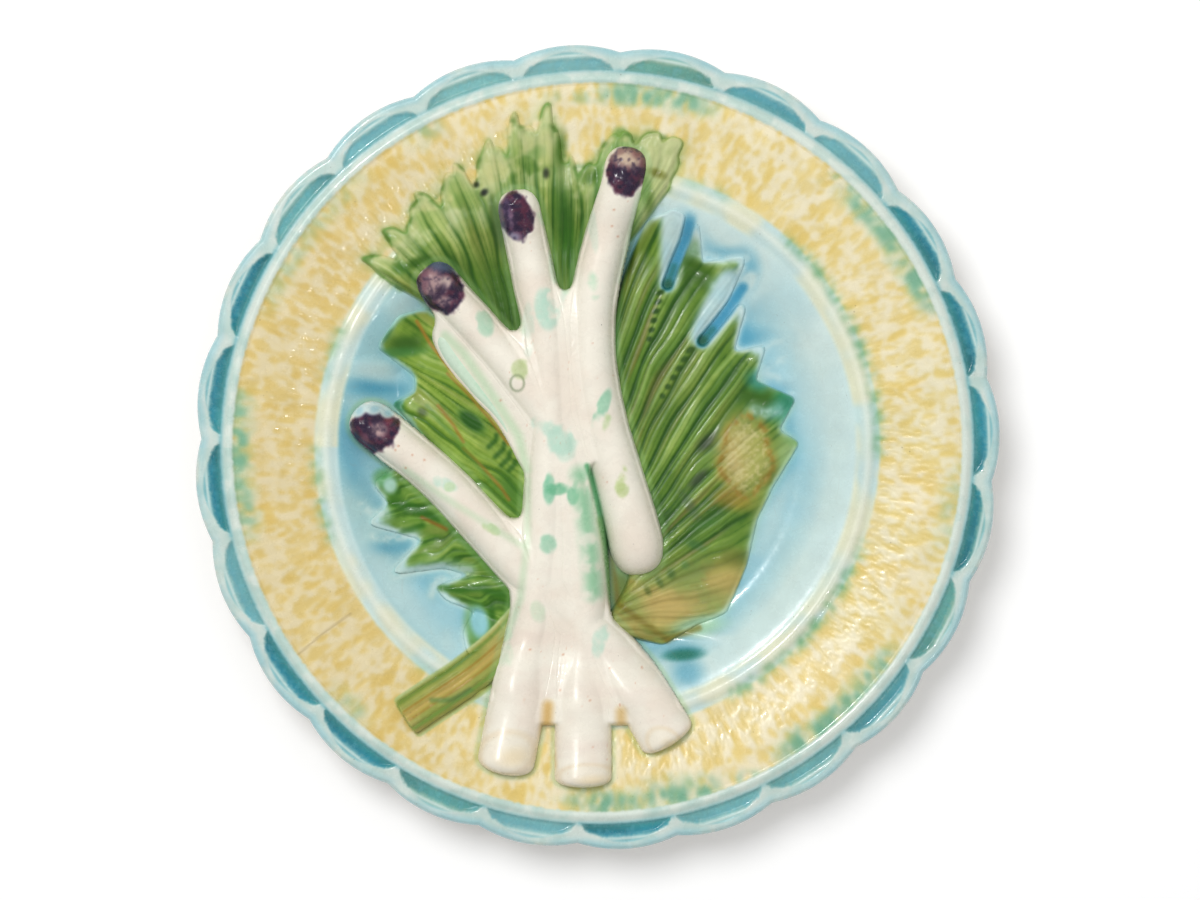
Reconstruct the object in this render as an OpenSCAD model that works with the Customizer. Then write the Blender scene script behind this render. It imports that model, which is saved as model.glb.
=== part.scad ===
// Moulded earthenware asparagus plate: a dished plate with a scalloped border,
// and a bunch of four asparagus spears lying on a split leaf in high relief.
// The plate stands on its foot ring at z = 0, its centre on the z axis.

/* [Plate] */
// Diameter over the crests of the scallops
plate_d = 231; // [180:1:300]
// Diameter of the flat floor of the well
floor_d = 114; // [96:1:126]
// Diameter of the well at the middle of its raised lip
lip_d = 155.4; // [146:0.2:160]
// Diameter of the bead between the rim and the scalloped border
bead_d = 210.4; // [206:0.2:212]
// Height of the well's floor above the table
floor_h = 7.6; // [6.5:0.1:10]
// Height of the rim beside the well's lip
lip_h = 16.4; // [14:0.1:19]
// Height of the scalloped border
border_h = 20.8; // [19.8:0.1:24]
// Thickness of the clay under the well and the rim
wall = 4.8; // [4:0.1:5.5]

/* [Beads] */
// Width of the well's raised lip
lip_w = 6; // [4:0.1:7]
// Height of the well's raised lip
lip_rise = 1; // [0.4:0.1:1.4]
// Width of the bead inside the scallops
bead_w = 4.2; // [3:0.1:5]
// Height of the bead inside the scallops
bead_rise = 1; // [0.4:0.1:1.4]

/* [Scallops] */
// Number of scallops round the border
scallops = 24; // [16:1:32]
// Depth of the notch between two scallops, from the crests
notch = 2; // [1:0.1:3]
// Width of the pale outer arc of a scallop
arc_w = 2.7; // [2:0.1:3.2]
// Width of the shallow crescent inside the arc
crescent_w = 2.6; // [1.5:0.1:3]
// Depth of the shallow crescent
crescent_depth = 0.8; // [0.4:0.1:1]
// Depth of the deep hollow beside the bead
hollow_depth = 1.7; // [1.2:0.1:2]
// Widest half turn by which the hand-cut scallops run ahead of an even spacing
scallop_drift = 1.9; // [0:0.1:2.5]
// Angle of the first scallop's middle
scallop_start = 2.5; // [0:0.5:7]

/* [Foot] */
// Outer diameter of the foot ring
foot_d = 136; // [120:1:146]
// Width of the foot ring's bare standing face
foot_w = 5; // [3.5:0.1:7]
// Height of the hollow inside the foot ring
foot_h = 2.4; // [1.6:0.1:3]

/* [Spears] */
// Width of a spear behind its tip
spear_tip_w = 13; // [10:0.1:15]
// Width of a spear at its cut end
spear_butt_w = 16.4; // [12:0.1:18]
// Height of a spear where it lies on the rim
spear_rim_h = 6.8; // [5:0.1:8]
// Height of a spear where it crosses the floor of the well
spear_floor_h = 11.6; // [9:0.1:13]
// Width of the small side shoot at its head
shoot_w = 7.4; // [5:0.1:9]
// Height of the small side shoot
shoot_h = 6.4; // [4:0.1:8]

/* [Leaf] */
// Height of the leaf above the plate
leaf_h = 2.2; // [1.4:0.1:3]
// Extra height of the leaf's ribs
rib_h = 1.3; // [0.6:0.1:1.8]
// How far the end of a rib stands out past the leaf's edge
rib_end = 0.6; // [0.3:0.1:1]
// Height of the leaf's crown beside the spears
crown_h = 4; // [3:0.1:5]
// Width of the leaf's deep slots at their round bottoms
slot_w = 4.4; // [3:0.1:6]
// Width of the leaf's deep slots at their mouths
slot_mouth_w = 11; // [8:0.1:13]
// Width of the cut leaf stalk
stalk_w = 10.4; // [8:0.1:13]
// Height of the leaf stalk
stalk_h = 4.2; // [3:0.1:5]

/* [Fit] */
// Glaze line between a relief and the plate under it
seat_gap = 0.25; // [0.2:0.05:0.4]
// Glaze line between two reliefs side by side
side_gap = 0.3; // [0.3:0.05:0.6]
// Least thickness at the edge of a relief
edge_t = 0.8; // [0.6:0.1:1.2]

/* [Hidden] */
$fn = 96;

plate_r = plate_d/2;
floor_r = floor_d/2;
lip_r = lip_d/2;
bead_r = bead_d/2;
foot_r = foot_d/2;
sky = 2*border_h;

// Colours as glazed
cream = "#e9e2c4";
leaf_green = "#5f9237";
leaf_olive = "#8fa04a";
pale_green = "#b9d9b4";
ivory = "#ebe2d3";

// The spears' centre lines, from the tip to the cut end, as shares of the plate's radius
right_shares = [[0.08, 0.745], [0.06, 0.64], [0.02, 0.51], [-0.01, 0.365], [-0.012, 0.215],
    [0.012, 0.067], [0.05, -0.07], [0.09, -0.205], [0.112, -0.32]];
upper_shares = [[-0.206, 0.64], [-0.18, 0.525], [-0.156, 0.41], [-0.13, 0.29], [-0.117, 0.115],
    [-0.12, -0.057], [-0.13, -0.23], [-0.15, -0.4], [-0.186, -0.575], [-0.232, -0.81]];
upper_left_shares = [[-0.428, 0.448], [-0.364, 0.37], [-0.29, 0.287], [-0.203, 0.186], [-0.112, 0.055],
    [-0.06, -0.106], [-0.038, -0.28], [-0.035, -0.475], [-0.035, -0.675], [-0.035, -0.842]];
left_shares = [[-0.602, 0.092], [-0.493, 0.003], [-0.38, -0.094], [-0.26, -0.222], [-0.149, -0.34],
    [-0.03, -0.45], [0.086, -0.58], [0.185, -0.738]];
shoot_shares = [[-0.394, 0.314], [-0.36, 0.235], [-0.3, 0.15], [-0.235, 0.067], [-0.176, -0.047]];
stalk_shares = [[-0.475, -0.673], [-0.414, -0.633], [-0.327, -0.576], [-0.24, -0.507], [-0.166, -0.428]];

// Each leaf part fans out from its root line to a row of lobe tips and notches
crown_root_shares = [[-0.345, 0.315], [-0.25, 0.275], [-0.17, 0.225], [-0.09, 0.27], [0, 0.42],
    [0.067, 0.497]];
crown_lobe_shares = [[-0.512, 0.408], [-0.59, 0.47], [-0.495, 0.48], [-0.537, 0.537], [-0.463, 0.557],
    [-0.46, 0.636], [-0.39, 0.616], [-0.364, 0.713], [-0.31, 0.668], [-0.268, 0.77], [-0.233, 0.73],
    [-0.206, 0.834], [-0.176, 0.784], [-0.12, 0.856], [-0.1, 0.78], [-0.08, 0.695], [-0.067, 0.73],
    [-0.045, 0.675], [-0.01, 0.72], [0.054, 0.79], [0.09, 0.77], [0.16, 0.78], [0.212, 0.757],
    [0.197, 0.69], [0.175, 0.64]];
right_root_shares = [[0, 0.1], [0.05, -0.06], [0.08, -0.22], [0.08, -0.33], [0.04, -0.41], [0.02, -0.45]];
right_bend_shares = [[0.04, 0.4], [0.13, 0.22], [0.22, 0.08], [0.27, -0.12], [0.22, -0.34], [0.1, -0.48]];
right_lobe_shares = [[0.125, 0.56], [0.19, 0.59], [0.25, 0.56], [0.262, 0.46], [0.371, 0.475], [0.33, 0.375],
    [0.37, 0.35], [0.338, 0.235], [0.42, 0.253], [0.393, 0.166], [0.494, 0.121], [0.452, 0.042],
    [0.504, 0.01], [0.437, -0.1], [0.398, -0.18], [0.373, -0.292], [0.346, -0.358], [0.319, -0.415],
    [0.247, -0.442], [0.165, -0.492]];
left_root_shares = [[-0.092, 0.067], [-0.102, -0.032], [-0.129, -0.131], [-0.166, -0.217]];
left_lobe_shares = [[-0.425, 0.345], [-0.493, 0.324], [-0.545, 0.25], [-0.5, 0.215], [-0.455, 0.18],
    [-0.453, 0.136], [-0.512, 0.109], [-0.458, 0.057], [-0.364, -0.081]];
lower_root_shares = [[-0.463, -0.02], [-0.352, -0.131], [-0.228, -0.242], [-0.154, -0.353],
    [-0.166, -0.477], [-0.22, -0.556]];
lower_lobe_shares = [[-0.527, -0.067], [-0.559, -0.089], [-0.517, -0.143], [-0.574, -0.19],
    [-0.436, -0.23], [-0.517, -0.316], [-0.385, -0.3], [-0.31, -0.32], [-0.406, -0.349],
    [-0.374, -0.383], [-0.305, -0.408], [-0.334, -0.462], [-0.32, -0.517], [-0.275, -0.536]];

// The two deep slots between the right part's lobes, from their round bottoms outwards
slot_shares = [[[0.172, 0.395], [0.19, 0.47], [0.21, 0.64]], [[0.237, 0.255], [0.285, 0.33], [0.36, 0.43]]];

// How many ribs run through each leaf part
crown_ribs = 22;
right_ribs = 16;
left_ribs = 6;
lower_ribs = 8;

// Smooth step from 0 to 1, and a smooth bump that is 1 in the middle and 0 at half its width away
function ease(t) = t <= 0 ? 0 : t >= 1 ? 1 : t*t*(3 - 2*t);
function bump(t) = abs(t) >= 1 ? 0 : 0.5 + 0.5*cos(180*t);

// Height of the plate's top at radius r, without its beads and with them
lip_in_r = lip_r - lip_w/4;
border_in_r = bead_r - bead_w/2;
function drape_z(r) = floor_h + (lip_h - floor_h)*ease((r - floor_r)/(lip_in_r - floor_r))
    + (border_h - lip_h)*ease((r - lip_in_r)/(border_in_r - lip_in_r));
function top_z(r) = drape_z(r) + lip_rise*bump((r - lip_r)/(lip_w/2))
    + bead_rise*bump((r - bead_r)/(bead_w/2));

// Height of a relief's underside: it steps over the well's lip, with room for its flat facets
function seat_z(r) = drape_z(r) + seat_gap + lip_rise*ease(3 - 2*abs(r - lip_r)/lip_w);

// A point at share t of the smooth curve through the points p
function knot(p, k) = p[max(0, min(len(p) - 1, k))];
function blend_four(a, b, c, d, t) =
    (2*b + (c - a)*t + (2*a - 5*b + 4*c - d)*t*t + (3*b - a - 3*c + d)*t*t*t)/2;
function curve_at(p, t) = let (last = len(p) - 1, k = min(last - 1, floor(t*last)), f = t*last - k)
    blend_four(knot(p, k - 1), knot(p, k), knot(p, k + 1), knot(p, k + 2), f);
function line_at(p, t) = let (last = len(p) - 1, k = min(last - 1, floor(t*last)), f = t*last - k)
    p[k]*(1 - f) + p[k + 1]*f;
function heading(p, t) = let (step = 0.01, a = curve_at(p, max(0, t - step)),
    b = curve_at(p, min(1, t + step))) (b - a)/norm(b - a);

// A closed solid that lies on the plate: rows of points [x, y, height above the plate].
// The rows turn left-handed or right-handed alike, so their order is set by their middle cell.
module draped(rows) {
  n = len(rows);
  m = len(rows[0]);
  i = floor(n/2);
  j = floor(m/2);
  along = rows[i][j] - rows[i - 1][j];
  across = rows[i][j] - rows[i][j - 1];
  turned = along.x*across.y - along.y*across.x > 0;
  grid = [for (row = rows) turned ? [for (k = [m - 1:-1:0]) row[k]] : row];
  low = [for (row = grid, p = row) [p.x, p.y, seat_z(norm([p.x, p.y]))]];
  high = [for (row = grid, p = row) let (r = norm([p.x, p.y]))
      [p.x, p.y, max(drape_z(r) + p.z, seat_z(r) + edge_t)]];
  top = n*m;
  cells = [for (a = [0:n - 2], b = [0:m - 2]) a*m + b];
  far = (n - 1)*m;
  polyhedron(concat(low, high), concat(
      [for (c = cells) each [[c, c + 1, c + m], [c + 1, c + m + 1, c + m]]],
      [for (c = cells) let (t = top + c)
          each [[t, t + m, t + 1], [t + 1, t + m, t + m + 1]]],
      [for (b = [0:m - 2]) each [[b, top + b, b + 1], [b + 1, top + b, top + b + 1]]],
      [for (b = [0:m - 2]) each [[far + b, far + b + 1, top + far + b],
          [far + b + 1, top + far + b + 1, top + far + b]]],
      [for (a = [0:n - 2]) each [[a*m, (a + 1)*m, top + a*m], [(a + 1)*m, top + (a + 1)*m, top + a*m]]],
      [for (a = [0:n - 2]) let (c = a*m + m - 1)
          each [[c, top + c, c + m], [c + m, top + c, top + c + m]]]), convexity = 8);
}

// The stations of a long round form: [middle, half width, height, side direction].
// Each end rounds off over its own number of half widths.
spear_steps = 24;
function stations(shares, tip_w, butt_w, rim_h, low_h, tip_halves, butt_halves) =
    let (p = plate_r*shares, length = norm(p[len(p) - 1] - p[0]))
    [for (i = [0:spear_steps]) let (
        t = 0.5 - 0.5*cos(180*i/spear_steps),
        middle = curve_at(p, t),
        ahead = heading(p, t),
        half = (tip_w + (butt_w - tip_w)*ease(t))/2,
        tip_round = min(1, t*length/(half*tip_halves)),
        butt_round = min(1, (1 - t)*length/(half*butt_halves)),
        round = sqrt(1 - pow(1 - tip_round, 2))*sqrt(1 - pow(1 - butt_round, 2)),
        hollow = 1 - ease((norm(middle) - floor_r)/(lip_in_r - floor_r)))
    [middle, half*max(round, 0.2), (rim_h + (low_h - rim_h)*hollow)*max(round, 0.3),
        [-ahead.y, ahead.x]]];

function spear(shares) = stations(shares, spear_tip_w, spear_butt_w, spear_rim_h, spear_floor_h, 1.5, 0.5);
spear_right_line = spear(right_shares);
spear_upper_line = spear(upper_shares);
spear_upper_left_line = spear(upper_left_shares);
spear_left_line = spear(left_shares);
shoot_line = stations(shoot_shares, shoot_w, shoot_w*0.6, shoot_h, shoot_h, 2, 0.5);
slot_lines = [for (shares = slot_shares) stations(shares, slot_w, slot_mouth_w, leaf_h, leaf_h, 1, 0.2)];
stalk_line = stations(stalk_shares, stalk_w, stalk_w, stalk_h, stalk_h, 0.3, 0.3);

// A round form laid along its stations, arched across
across_steps = 10;
module arched(line) {
  draped([for (s = line) [for (k = [0:across_steps]) let (a = 180*k/across_steps)
      [s[0].x + s[3].x*s[1]*cos(a), s[0].y + s[3].y*s[1]*cos(a), s[2]*pow(sin(a), 0.75)]]]);
}

// The ground that a form covers, grown by the side gap, to cut what lies under or beside it
module ground(line) {
  linear_extrude(height = sky)
    for (i = [0:len(line) - 2])
      hull()
        for (s = [line[i], line[i + 1]], side = [-1, 1])
          translate(s[0] + side*s[1]*s[3])
            circle(r = side_gap, $fn = 8);
}

// A leaf part: ribs run from the root line, past the bend line where there is one, to the row
// of lobes, and each lobe thins to its edge
out_steps = 6;
module leaf_part(root_shares, lobe_shares, ribs, bend_shares = []) {
  count = ribs*4;
  draped([for (i = [0:count]) let (
      t = i/count,
      rib = 0.5 + 0.5*cos(360*ribs*t),
      root = plate_r*curve_at(root_shares, t),
      edge = plate_r*line_at(lobe_shares, t),
      lobe = edge + rib_end*rib*rib*(edge - root)/norm(edge - root),
      bend = len(bend_shares) > 0 ? plate_r*curve_at(bend_shares, t) : (root + lobe)/2)
    [for (k = [0:out_steps]) let (
        v = k/out_steps,
        lie = root*(1 - v)*(1 - v) + 2*bend*v*(1 - v) + lobe*v*v,
        fade = 1 - pow(v, 6))
      [lie.x, lie.y, edge_t + (leaf_h - edge_t + (crown_h - leaf_h)*(1 - v) + rib_h*rib)*fade]]]);
}

module scallop_places() {
  for (k = [0:scallops - 1])
    let (even = 360*k/scallops)
      rotate(scallop_start + even + scallop_drift*(1 - cos(even)))
        children();
}

// A circle that touches radius crest_r and crosses radius from_r at half_angle to either side
module arch(crest_r, from_r, half_angle) {
  cross_x = from_r*cos(half_angle);
  middle = (crest_r*crest_r - from_r*from_r)/(2*(crest_r - cross_x));
  translate([middle, 0])
    circle(r = crest_r - middle);
}

// The lens between a scallop's arc and the bead, as a share of a scallop's width
half_step = 180/scallops;
bead_out_r = bead_r + bead_w/2;
lens_share = 0.83;
hollow_share = 0.75;
module scallop_lens(inset, share) {
  scallop_places()
    difference() {
      arch(plate_r - inset, bead_out_r, share*half_step);
      circle(r = bead_out_r + side_gap);
    }
}

// Radii from one to another in even steps, without the last
function radii(from_r, to_r, steps) = [for (i = [0:steps - 1]) from_r + (to_r - from_r)*i/steps];

under_r = plate_r + notch;
module plate_profile() {
  lip_out_r = lip_r + lip_w/2;
  top_radii = concat([0], radii(floor_r, lip_out_r, 16), radii(lip_out_r, border_in_r, 6),
      radii(border_in_r, bead_out_r, 6), [bead_out_r, under_r]);
  foot_in_r = foot_r - foot_w;
  knee_r = foot_r + wall;
  under_radii = concat([under_r, bead_r], radii(border_in_r, knee_r, 8), [knee_r]);
  polygon(concat([for (r = top_radii) [r, top_z(r)]],
      [for (r = under_radii) [r, max(foot_h, drape_z(r) - wall)]],
      [[foot_r, foot_h/2], [foot_r - foot_h/4, 0], [foot_in_r + foot_h/4, 0], [foot_in_r, foot_h/2],
          [foot_in_r - foot_h, foot_h], [0, foot_h]]));
}

module plate_body() {
  color(cream)
    difference() {
      intersection() {
        rotate_extrude()
          plate_profile();
        linear_extrude(height = sky)
          scallop_places()
            arch(plate_r, plate_r - notch, half_step);
      }
      translate([0, 0, border_h - crescent_depth])
        linear_extrude(height = sky)
          scallop_lens(arc_w, lens_share);
      translate([0, 0, border_h - hollow_depth])
        linear_extrude(height = sky)
          scallop_lens(arc_w + crescent_w, hollow_share);
    }
}

module spear_right() {
  color(ivory)
    arched(spear_right_line);
}

module spear_upper() {
  color(ivory)
    difference() {
      arched(spear_upper_line);
      ground(spear_right_line);
    }
}

module spear_upper_left() {
  color(ivory)
    difference() {
      arched(spear_upper_left_line);
      ground(spear_right_line);
      ground(spear_upper_line);
    }
}

module spear_left() {
  color(ivory)
    difference() {
      arched(spear_left_line);
      ground(spear_right_line);
      ground(spear_upper_line);
      ground(spear_upper_left_line);
    }
}

module side_shoot() {
  color(pale_green)
    difference() {
      arched(shoot_line);
      ground(spear_upper_line);
      ground(spear_upper_left_line);
    }
}

module leaf_crown() {
  color(leaf_green)
    difference() {
      leaf_part(crown_root_shares, crown_lobe_shares, crown_ribs);
      ground(spear_right_line);
      ground(spear_upper_line);
      ground(spear_upper_left_line);
    }
}

module leaf_right() {
  color(leaf_green)
    difference() {
      leaf_part(right_root_shares, right_lobe_shares, right_ribs, right_bend_shares);
      ground(spear_right_line);
      ground(spear_upper_line);
      ground(spear_upper_left_line);
      ground(spear_left_line);
      for (line = slot_lines)
        ground(line);
    }
}

module leaf_left() {
  color(leaf_green)
    difference() {
      leaf_part(left_root_shares, left_lobe_shares, left_ribs);
      ground(shoot_line);
      ground(spear_upper_line);
      ground(spear_upper_left_line);
      ground(spear_left_line);
    }
}

module leaf_lower() {
  color(leaf_green)
    difference() {
      leaf_part(lower_root_shares, lower_lobe_shares, lower_ribs);
      ground(stalk_line);
      ground(spear_upper_line);
      ground(spear_upper_left_line);
      ground(spear_left_line);
    }
}

module leaf_stalk() {
  color(leaf_olive)
    difference() {
      arched(stalk_line);
      ground(spear_upper_line);
    }
}

plate_body();
leaf_crown();
leaf_right();
leaf_left();
leaf_lower();
leaf_stalk();
side_shoot();
spear_left();
spear_upper_left();
spear_upper();
spear_right();
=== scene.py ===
"""Looks for a moulded earthenware asparagus plate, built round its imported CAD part.

The relief is one height field over the plate. Heights, glaze colours and glaze thickness are
worked out on a square grid in millimetres, and each piece's own mesh samples that grid.
"""

import bpy
import numpy as np
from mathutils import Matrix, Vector


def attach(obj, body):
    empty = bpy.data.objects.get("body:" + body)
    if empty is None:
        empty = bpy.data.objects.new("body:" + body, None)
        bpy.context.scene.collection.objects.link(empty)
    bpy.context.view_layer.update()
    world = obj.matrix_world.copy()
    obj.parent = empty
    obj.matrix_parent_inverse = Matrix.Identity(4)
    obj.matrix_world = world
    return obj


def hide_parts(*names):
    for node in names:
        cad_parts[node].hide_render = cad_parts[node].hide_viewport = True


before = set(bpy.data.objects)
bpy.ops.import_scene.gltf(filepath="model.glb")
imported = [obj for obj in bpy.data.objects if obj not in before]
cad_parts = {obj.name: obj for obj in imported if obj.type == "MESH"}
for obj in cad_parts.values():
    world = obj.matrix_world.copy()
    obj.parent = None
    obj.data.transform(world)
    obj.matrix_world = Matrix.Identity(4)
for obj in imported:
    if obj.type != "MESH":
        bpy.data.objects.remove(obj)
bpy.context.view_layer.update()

MM = 0.001

# Sizes of the CAD part, in mm
PLATE_R = 115.5
FLOOR_R = 57.0
LIP_R = 77.7
BEAD_R = 105.2
FLOOR_H, LIP_H, BORDER_H = 7.6, 16.4, 20.8
WALL = 4.8
LIP_W, LIP_RISE = 6.0, 1.0
BEAD_W, BEAD_RISE = 4.2, 1.0
SCALLOPS, NOTCH = 24, 2.0
FOOT_R, FOOT_W, FOOT_H = 68.0, 5.0, 2.4
SPEAR_TIP_W, SPEAR_BUTT_W = 13.0, 16.4
SPEAR_RIM_H, SPEAR_FLOOR_H = 6.8, 11.6
LIP_IN_R = LIP_R - LIP_W / 4
BORDER_IN_R = BEAD_R - BEAD_W / 2
HALF_STEP = np.radians(180 / SCALLOPS)

# Routes in shares of the plate's radius, as in part.scad
SPEARS = {
    "spear_right": [(.08, .745), (.06, .64), (.02, .51), (-.01, .365), (-.012, .215), (.012, .067),
                    (.05, -.07), (.09, -.205), (.112, -.32)],
    "spear_upper": [(-.206, .64), (-.18, .525), (-.156, .41), (-.13, .29), (-.117, .115), (-.12, -.057),
                    (-.13, -.23), (-.15, -.4), (-.186, -.575), (-.232, -.81)],
    "spear_upper_left": [(-.428, .448), (-.364, .37), (-.29, .287), (-.203, .186), (-.112, .055),
                         (-.06, -.106), (-.038, -.28), (-.035, -.475), (-.035, -.675), (-.035, -.842)],
    "spear_left": [(-.602, .092), (-.493, .003), (-.38, -.094), (-.26, -.222), (-.149, -.34),
                   (-.03, -.45), (.086, -.58), (.185, -.738)],
}
SHOOT = [(-.394, .314), (-.36, .235), (-.3, .15), (-.235, .067), (-.176, -.047)]
STALK = [(-.475, -.673), (-.414, -.633), (-.327, -.576), (-.24, -.507), (-.166, -.428)]
SLOTS = [[(.172, .395), (.19, .47), (.21, .64)], [(.237, .255), (.285, .33), (.36, .43)]]
LEAVES = {
    "leaf_crown": dict(
        ribs=22,
        root=[(-.345, .315), (-.25, .275), (-.17, .225), (-.09, .27), (0, .42), (.067, .497)],
        lobes=[(-.512, .408), (-.59, .47), (-.495, .48), (-.537, .537), (-.463, .557), (-.46, .636),
               (-.39, .616), (-.364, .713), (-.31, .668), (-.268, .77), (-.233, .73), (-.206, .834),
               (-.176, .784), (-.12, .856), (-.1, .78), (-.08, .695), (-.067, .73), (-.045, .675),
               (-.01, .72), (.054, .79), (.09, .77), (.16, .78), (.212, .757), (.197, .69), (.175, .64)]),
    "leaf_right": dict(
        ribs=16,
        root=[(0, .1), (.05, -.06), (.08, -.22), (.08, -.33), (.04, -.41), (.02, -.45)],
        bend=[(.04, .4), (.13, .22), (.22, .08), (.27, -.12), (.22, -.34), (.1, -.48)],
        lobes=[(.125, .56), (.19, .59), (.25, .56), (.262, .46), (.371, .475), (.33, .375), (.37, .35),
               (.338, .235), (.42, .253), (.393, .166), (.494, .121), (.452, .042), (.504, .01),
               (.437, -.1), (.398, -.18), (.373, -.292), (.346, -.358), (.319, -.415), (.247, -.442),
               (.165, -.492)]),
    "leaf_left": dict(
        ribs=6,
        root=[(-.092, .067), (-.102, -.032), (-.129, -.131), (-.166, -.217)],
        lobes=[(-.425, .345), (-.493, .324), (-.545, .25), (-.5, .215), (-.455, .18), (-.453, .136),
               (-.512, .109), (-.458, .057), (-.364, -.081)]),
    "leaf_lower": dict(
        ribs=8,
        root=[(-.463, -.02), (-.352, -.131), (-.228, -.242), (-.154, -.353), (-.166, -.477), (-.22, -.556)],
        lobes=[(-.527, -.067), (-.559, -.089), (-.517, -.143), (-.574, -.19), (-.436, -.23),
               (-.517, -.316), (-.385, -.3), (-.31, -.32), (-.406, -.349), (-.374, -.383), (-.305, -.408),
               (-.334, -.462), (-.32, -.517), (-.275, -.536)]),
}

# Curves and smooth steps


def ease(t):
    t = np.clip(t, 0, 1)
    return t * t * (3 - 2 * t)


def bump(t):
    return np.where(np.abs(t) < 1, .5 + .5 * np.cos(np.pi * np.clip(t, -1, 1)), 0)


def spans(shares, t):
    """A route's points in mm and last point's number, and for each t its span and the share along it."""
    p = np.array(shares, float) * PLATE_R
    last = len(p) - 1
    k = np.clip(np.floor(t * last).astype(int), 0, last - 1)
    return p, last, k, (t * last - k)[..., None]


def curve_at(shares, t):
    """Points in mm at shares t of the smooth curve through the given shares of the plate's radius."""
    p, last, k, f = spans(shares, t)
    a, b, c, d = (p[np.clip(k + i, 0, last)] for i in (-1, 0, 1, 2))
    return (2 * b + (c - a) * f + (2 * a - 5 * b + 4 * c - d) * f ** 2 + (3 * b - a - 3 * c + d) * f ** 3) / 2


def line_at(shares, t):
    """The same along straight spans, which keep their corners."""
    p, _, k, f = spans(shares, t)
    return p[k] * (1 - f) + p[k + 1] * f


def side_at(shares, t):
    ahead = curve_at(shares, np.minimum(t + .01, 1)) - curve_at(shares, np.maximum(t - .01, 0))
    ahead /= np.linalg.norm(ahead, axis=-1, keepdims=True)
    return np.stack([-ahead[..., 1], ahead[..., 0]], -1)


# The grid over the plate: its pitch in mm and its cells to a side
PITCH = .25
CELLS = 960
LAST_CELL = CELLS - 1.001
LINE = (np.arange(CELLS) - CELLS / 2 + .5) * PITCH
GX, GY = np.meshgrid(LINE, LINE)
GR, GA = np.hypot(GX, GY), np.arctan2(GY, GX)
FREQUENCY_SQUARED = np.fft.fftfreq(CELLS)[:, None] ** 2 + np.fft.rfftfreq(CELLS)[None] ** 2
NOISE_CELLS = 128


def blur(field, size):
    """A Gaussian blur of a grid field; size is in mm."""
    kept = np.exp(-2 * np.pi ** 2 * FREQUENCY_SQUARED * (size / PITCH) ** 2)
    return np.fft.irfft2(np.fft.rfft2(field) * kept, s=(CELLS, CELLS))


def cell_of(mm):
    """A place in mm along a side of the grid, counted in cells."""
    return mm / PITCH + CELLS / 2 - .5


def between(a, b, c, d, f, g):
    """Four neighbours mixed: b over a and d over c by f, and the second pair over the first by g."""
    return (a * (1 - f) + b * f) * (1 - g) + (c * (1 - f) + d * f) * g


def sample(field, x, y):
    """A grid field at points in mm, bilinear."""
    u, v = np.clip(cell_of(x), 0, LAST_CELL), np.clip(cell_of(y), 0, LAST_CELL)
    i, j = u.astype(int), v.astype(int)
    f, g = u - i, v - j
    if field.ndim == 3:
        f, g = f[..., None], g[..., None]
    return between(field[j, i], field[j, i + 1], field[j + 1, i], field[j + 1, i + 1], f, g)


def splat(points, *values):
    """Writes values at points in mm into grid fields. Returns where any fell, and each field's mean."""
    i, j = (np.clip(np.round(cell_of(points[..., k])).astype(int), 0, CELLS - 1).ravel() for k in (0, 1))
    at, total, shape = j * CELLS + i, CELLS * CELLS, (CELLS, CELLS)
    count = np.bincount(at, minlength=total)
    sums = [np.bincount(at, weights=v.ravel(), minlength=total) for v in values]
    return (count > 0).reshape(shape), *[(f / np.maximum(count, 1)).reshape(shape) for f in sums]


def noise(u, v, seed, octaves=3):
    """Smooth value noise from 0 to 1 at coordinates u, v, one lattice cell per unit."""
    total, weight = np.zeros(np.broadcast(u, v).shape), 0
    for k in range(octaves):
        table = np.random.default_rng(seed * 17 + k).random((NOISE_CELLS, NOISE_CELLS))
        a, b = u * 2 ** k + 31.7 * k, v * 2 ** k + 17.3 * k
        i, j = np.floor(a).astype(int), np.floor(b).astype(int)
        f, g = ease(a - i), ease(b - j)
        i0, i1, j0, j1 = (n % NOISE_CELLS for n in (i, i + 1, j, j + 1))
        total += between(table[j0, i0], table[j0, i1], table[j1, i0], table[j1, i1], f, g) * .5 ** k
        weight += .5 ** k
    return total / weight


def patches(size, seed, octaves):
    """Noise over the grid, in patches of about the given size in mm."""
    return noise(GX / size, GY / size, seed, octaves)


# The plate's middle in the photograph, in its own picture units, and the mm that one of them is on the plate.
# Every seen place and half size below is in those units, and every turn is in degrees, counterclockwise.
SEEN_X, SEEN_Y, SEEN_MM = 597.2, 447.1, .2857


def seen(x, y):
    return (np.asarray(x) - SEEN_X) * SEEN_MM, (SEEN_Y - np.asarray(y)) * SEEN_MM


def oval(x, y, rx, ry, turn, at_x=GX, at_y=GY):
    """Points in mm in the own axes of an oval, in shares of its half sizes."""
    cx, cy = seen(x, y)
    c, s = np.cos(np.radians(turn)), np.sin(np.radians(turn))
    dx, dy = at_x - cx, at_y - cy
    return (dx * c + dy * s) / (rx * SEEN_MM), (-dx * s + dy * c) / (ry * SEEN_MM)


def spot(x, y, rx, ry, turn, soft):
    """A soft-edged oval at a seen place."""
    return ease((1 + soft - np.hypot(*oval(x, y, rx, ry, turn))) / (2 * soft))


def stroke(points, width, soft):
    """A soft-edged stroke along seen places; width is its half width."""
    px, py = seen([p[0] for p in points], [p[1] for p in points])
    best = np.full_like(GX, 1e9)
    for a in range(len(px) - 1):
        dx, dy = px[a + 1] - px[a], py[a + 1] - py[a]
        t = np.clip(((GX - px[a]) * dx + (GY - py[a]) * dy) / (dx * dx + dy * dy), 0, 1)
        best = np.minimum(best, np.hypot(GX - px[a] - t * dx, GY - py[a] - t * dy))
    return ease((1 + soft - best / (width * SEEN_MM)) / (2 * soft))


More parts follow.
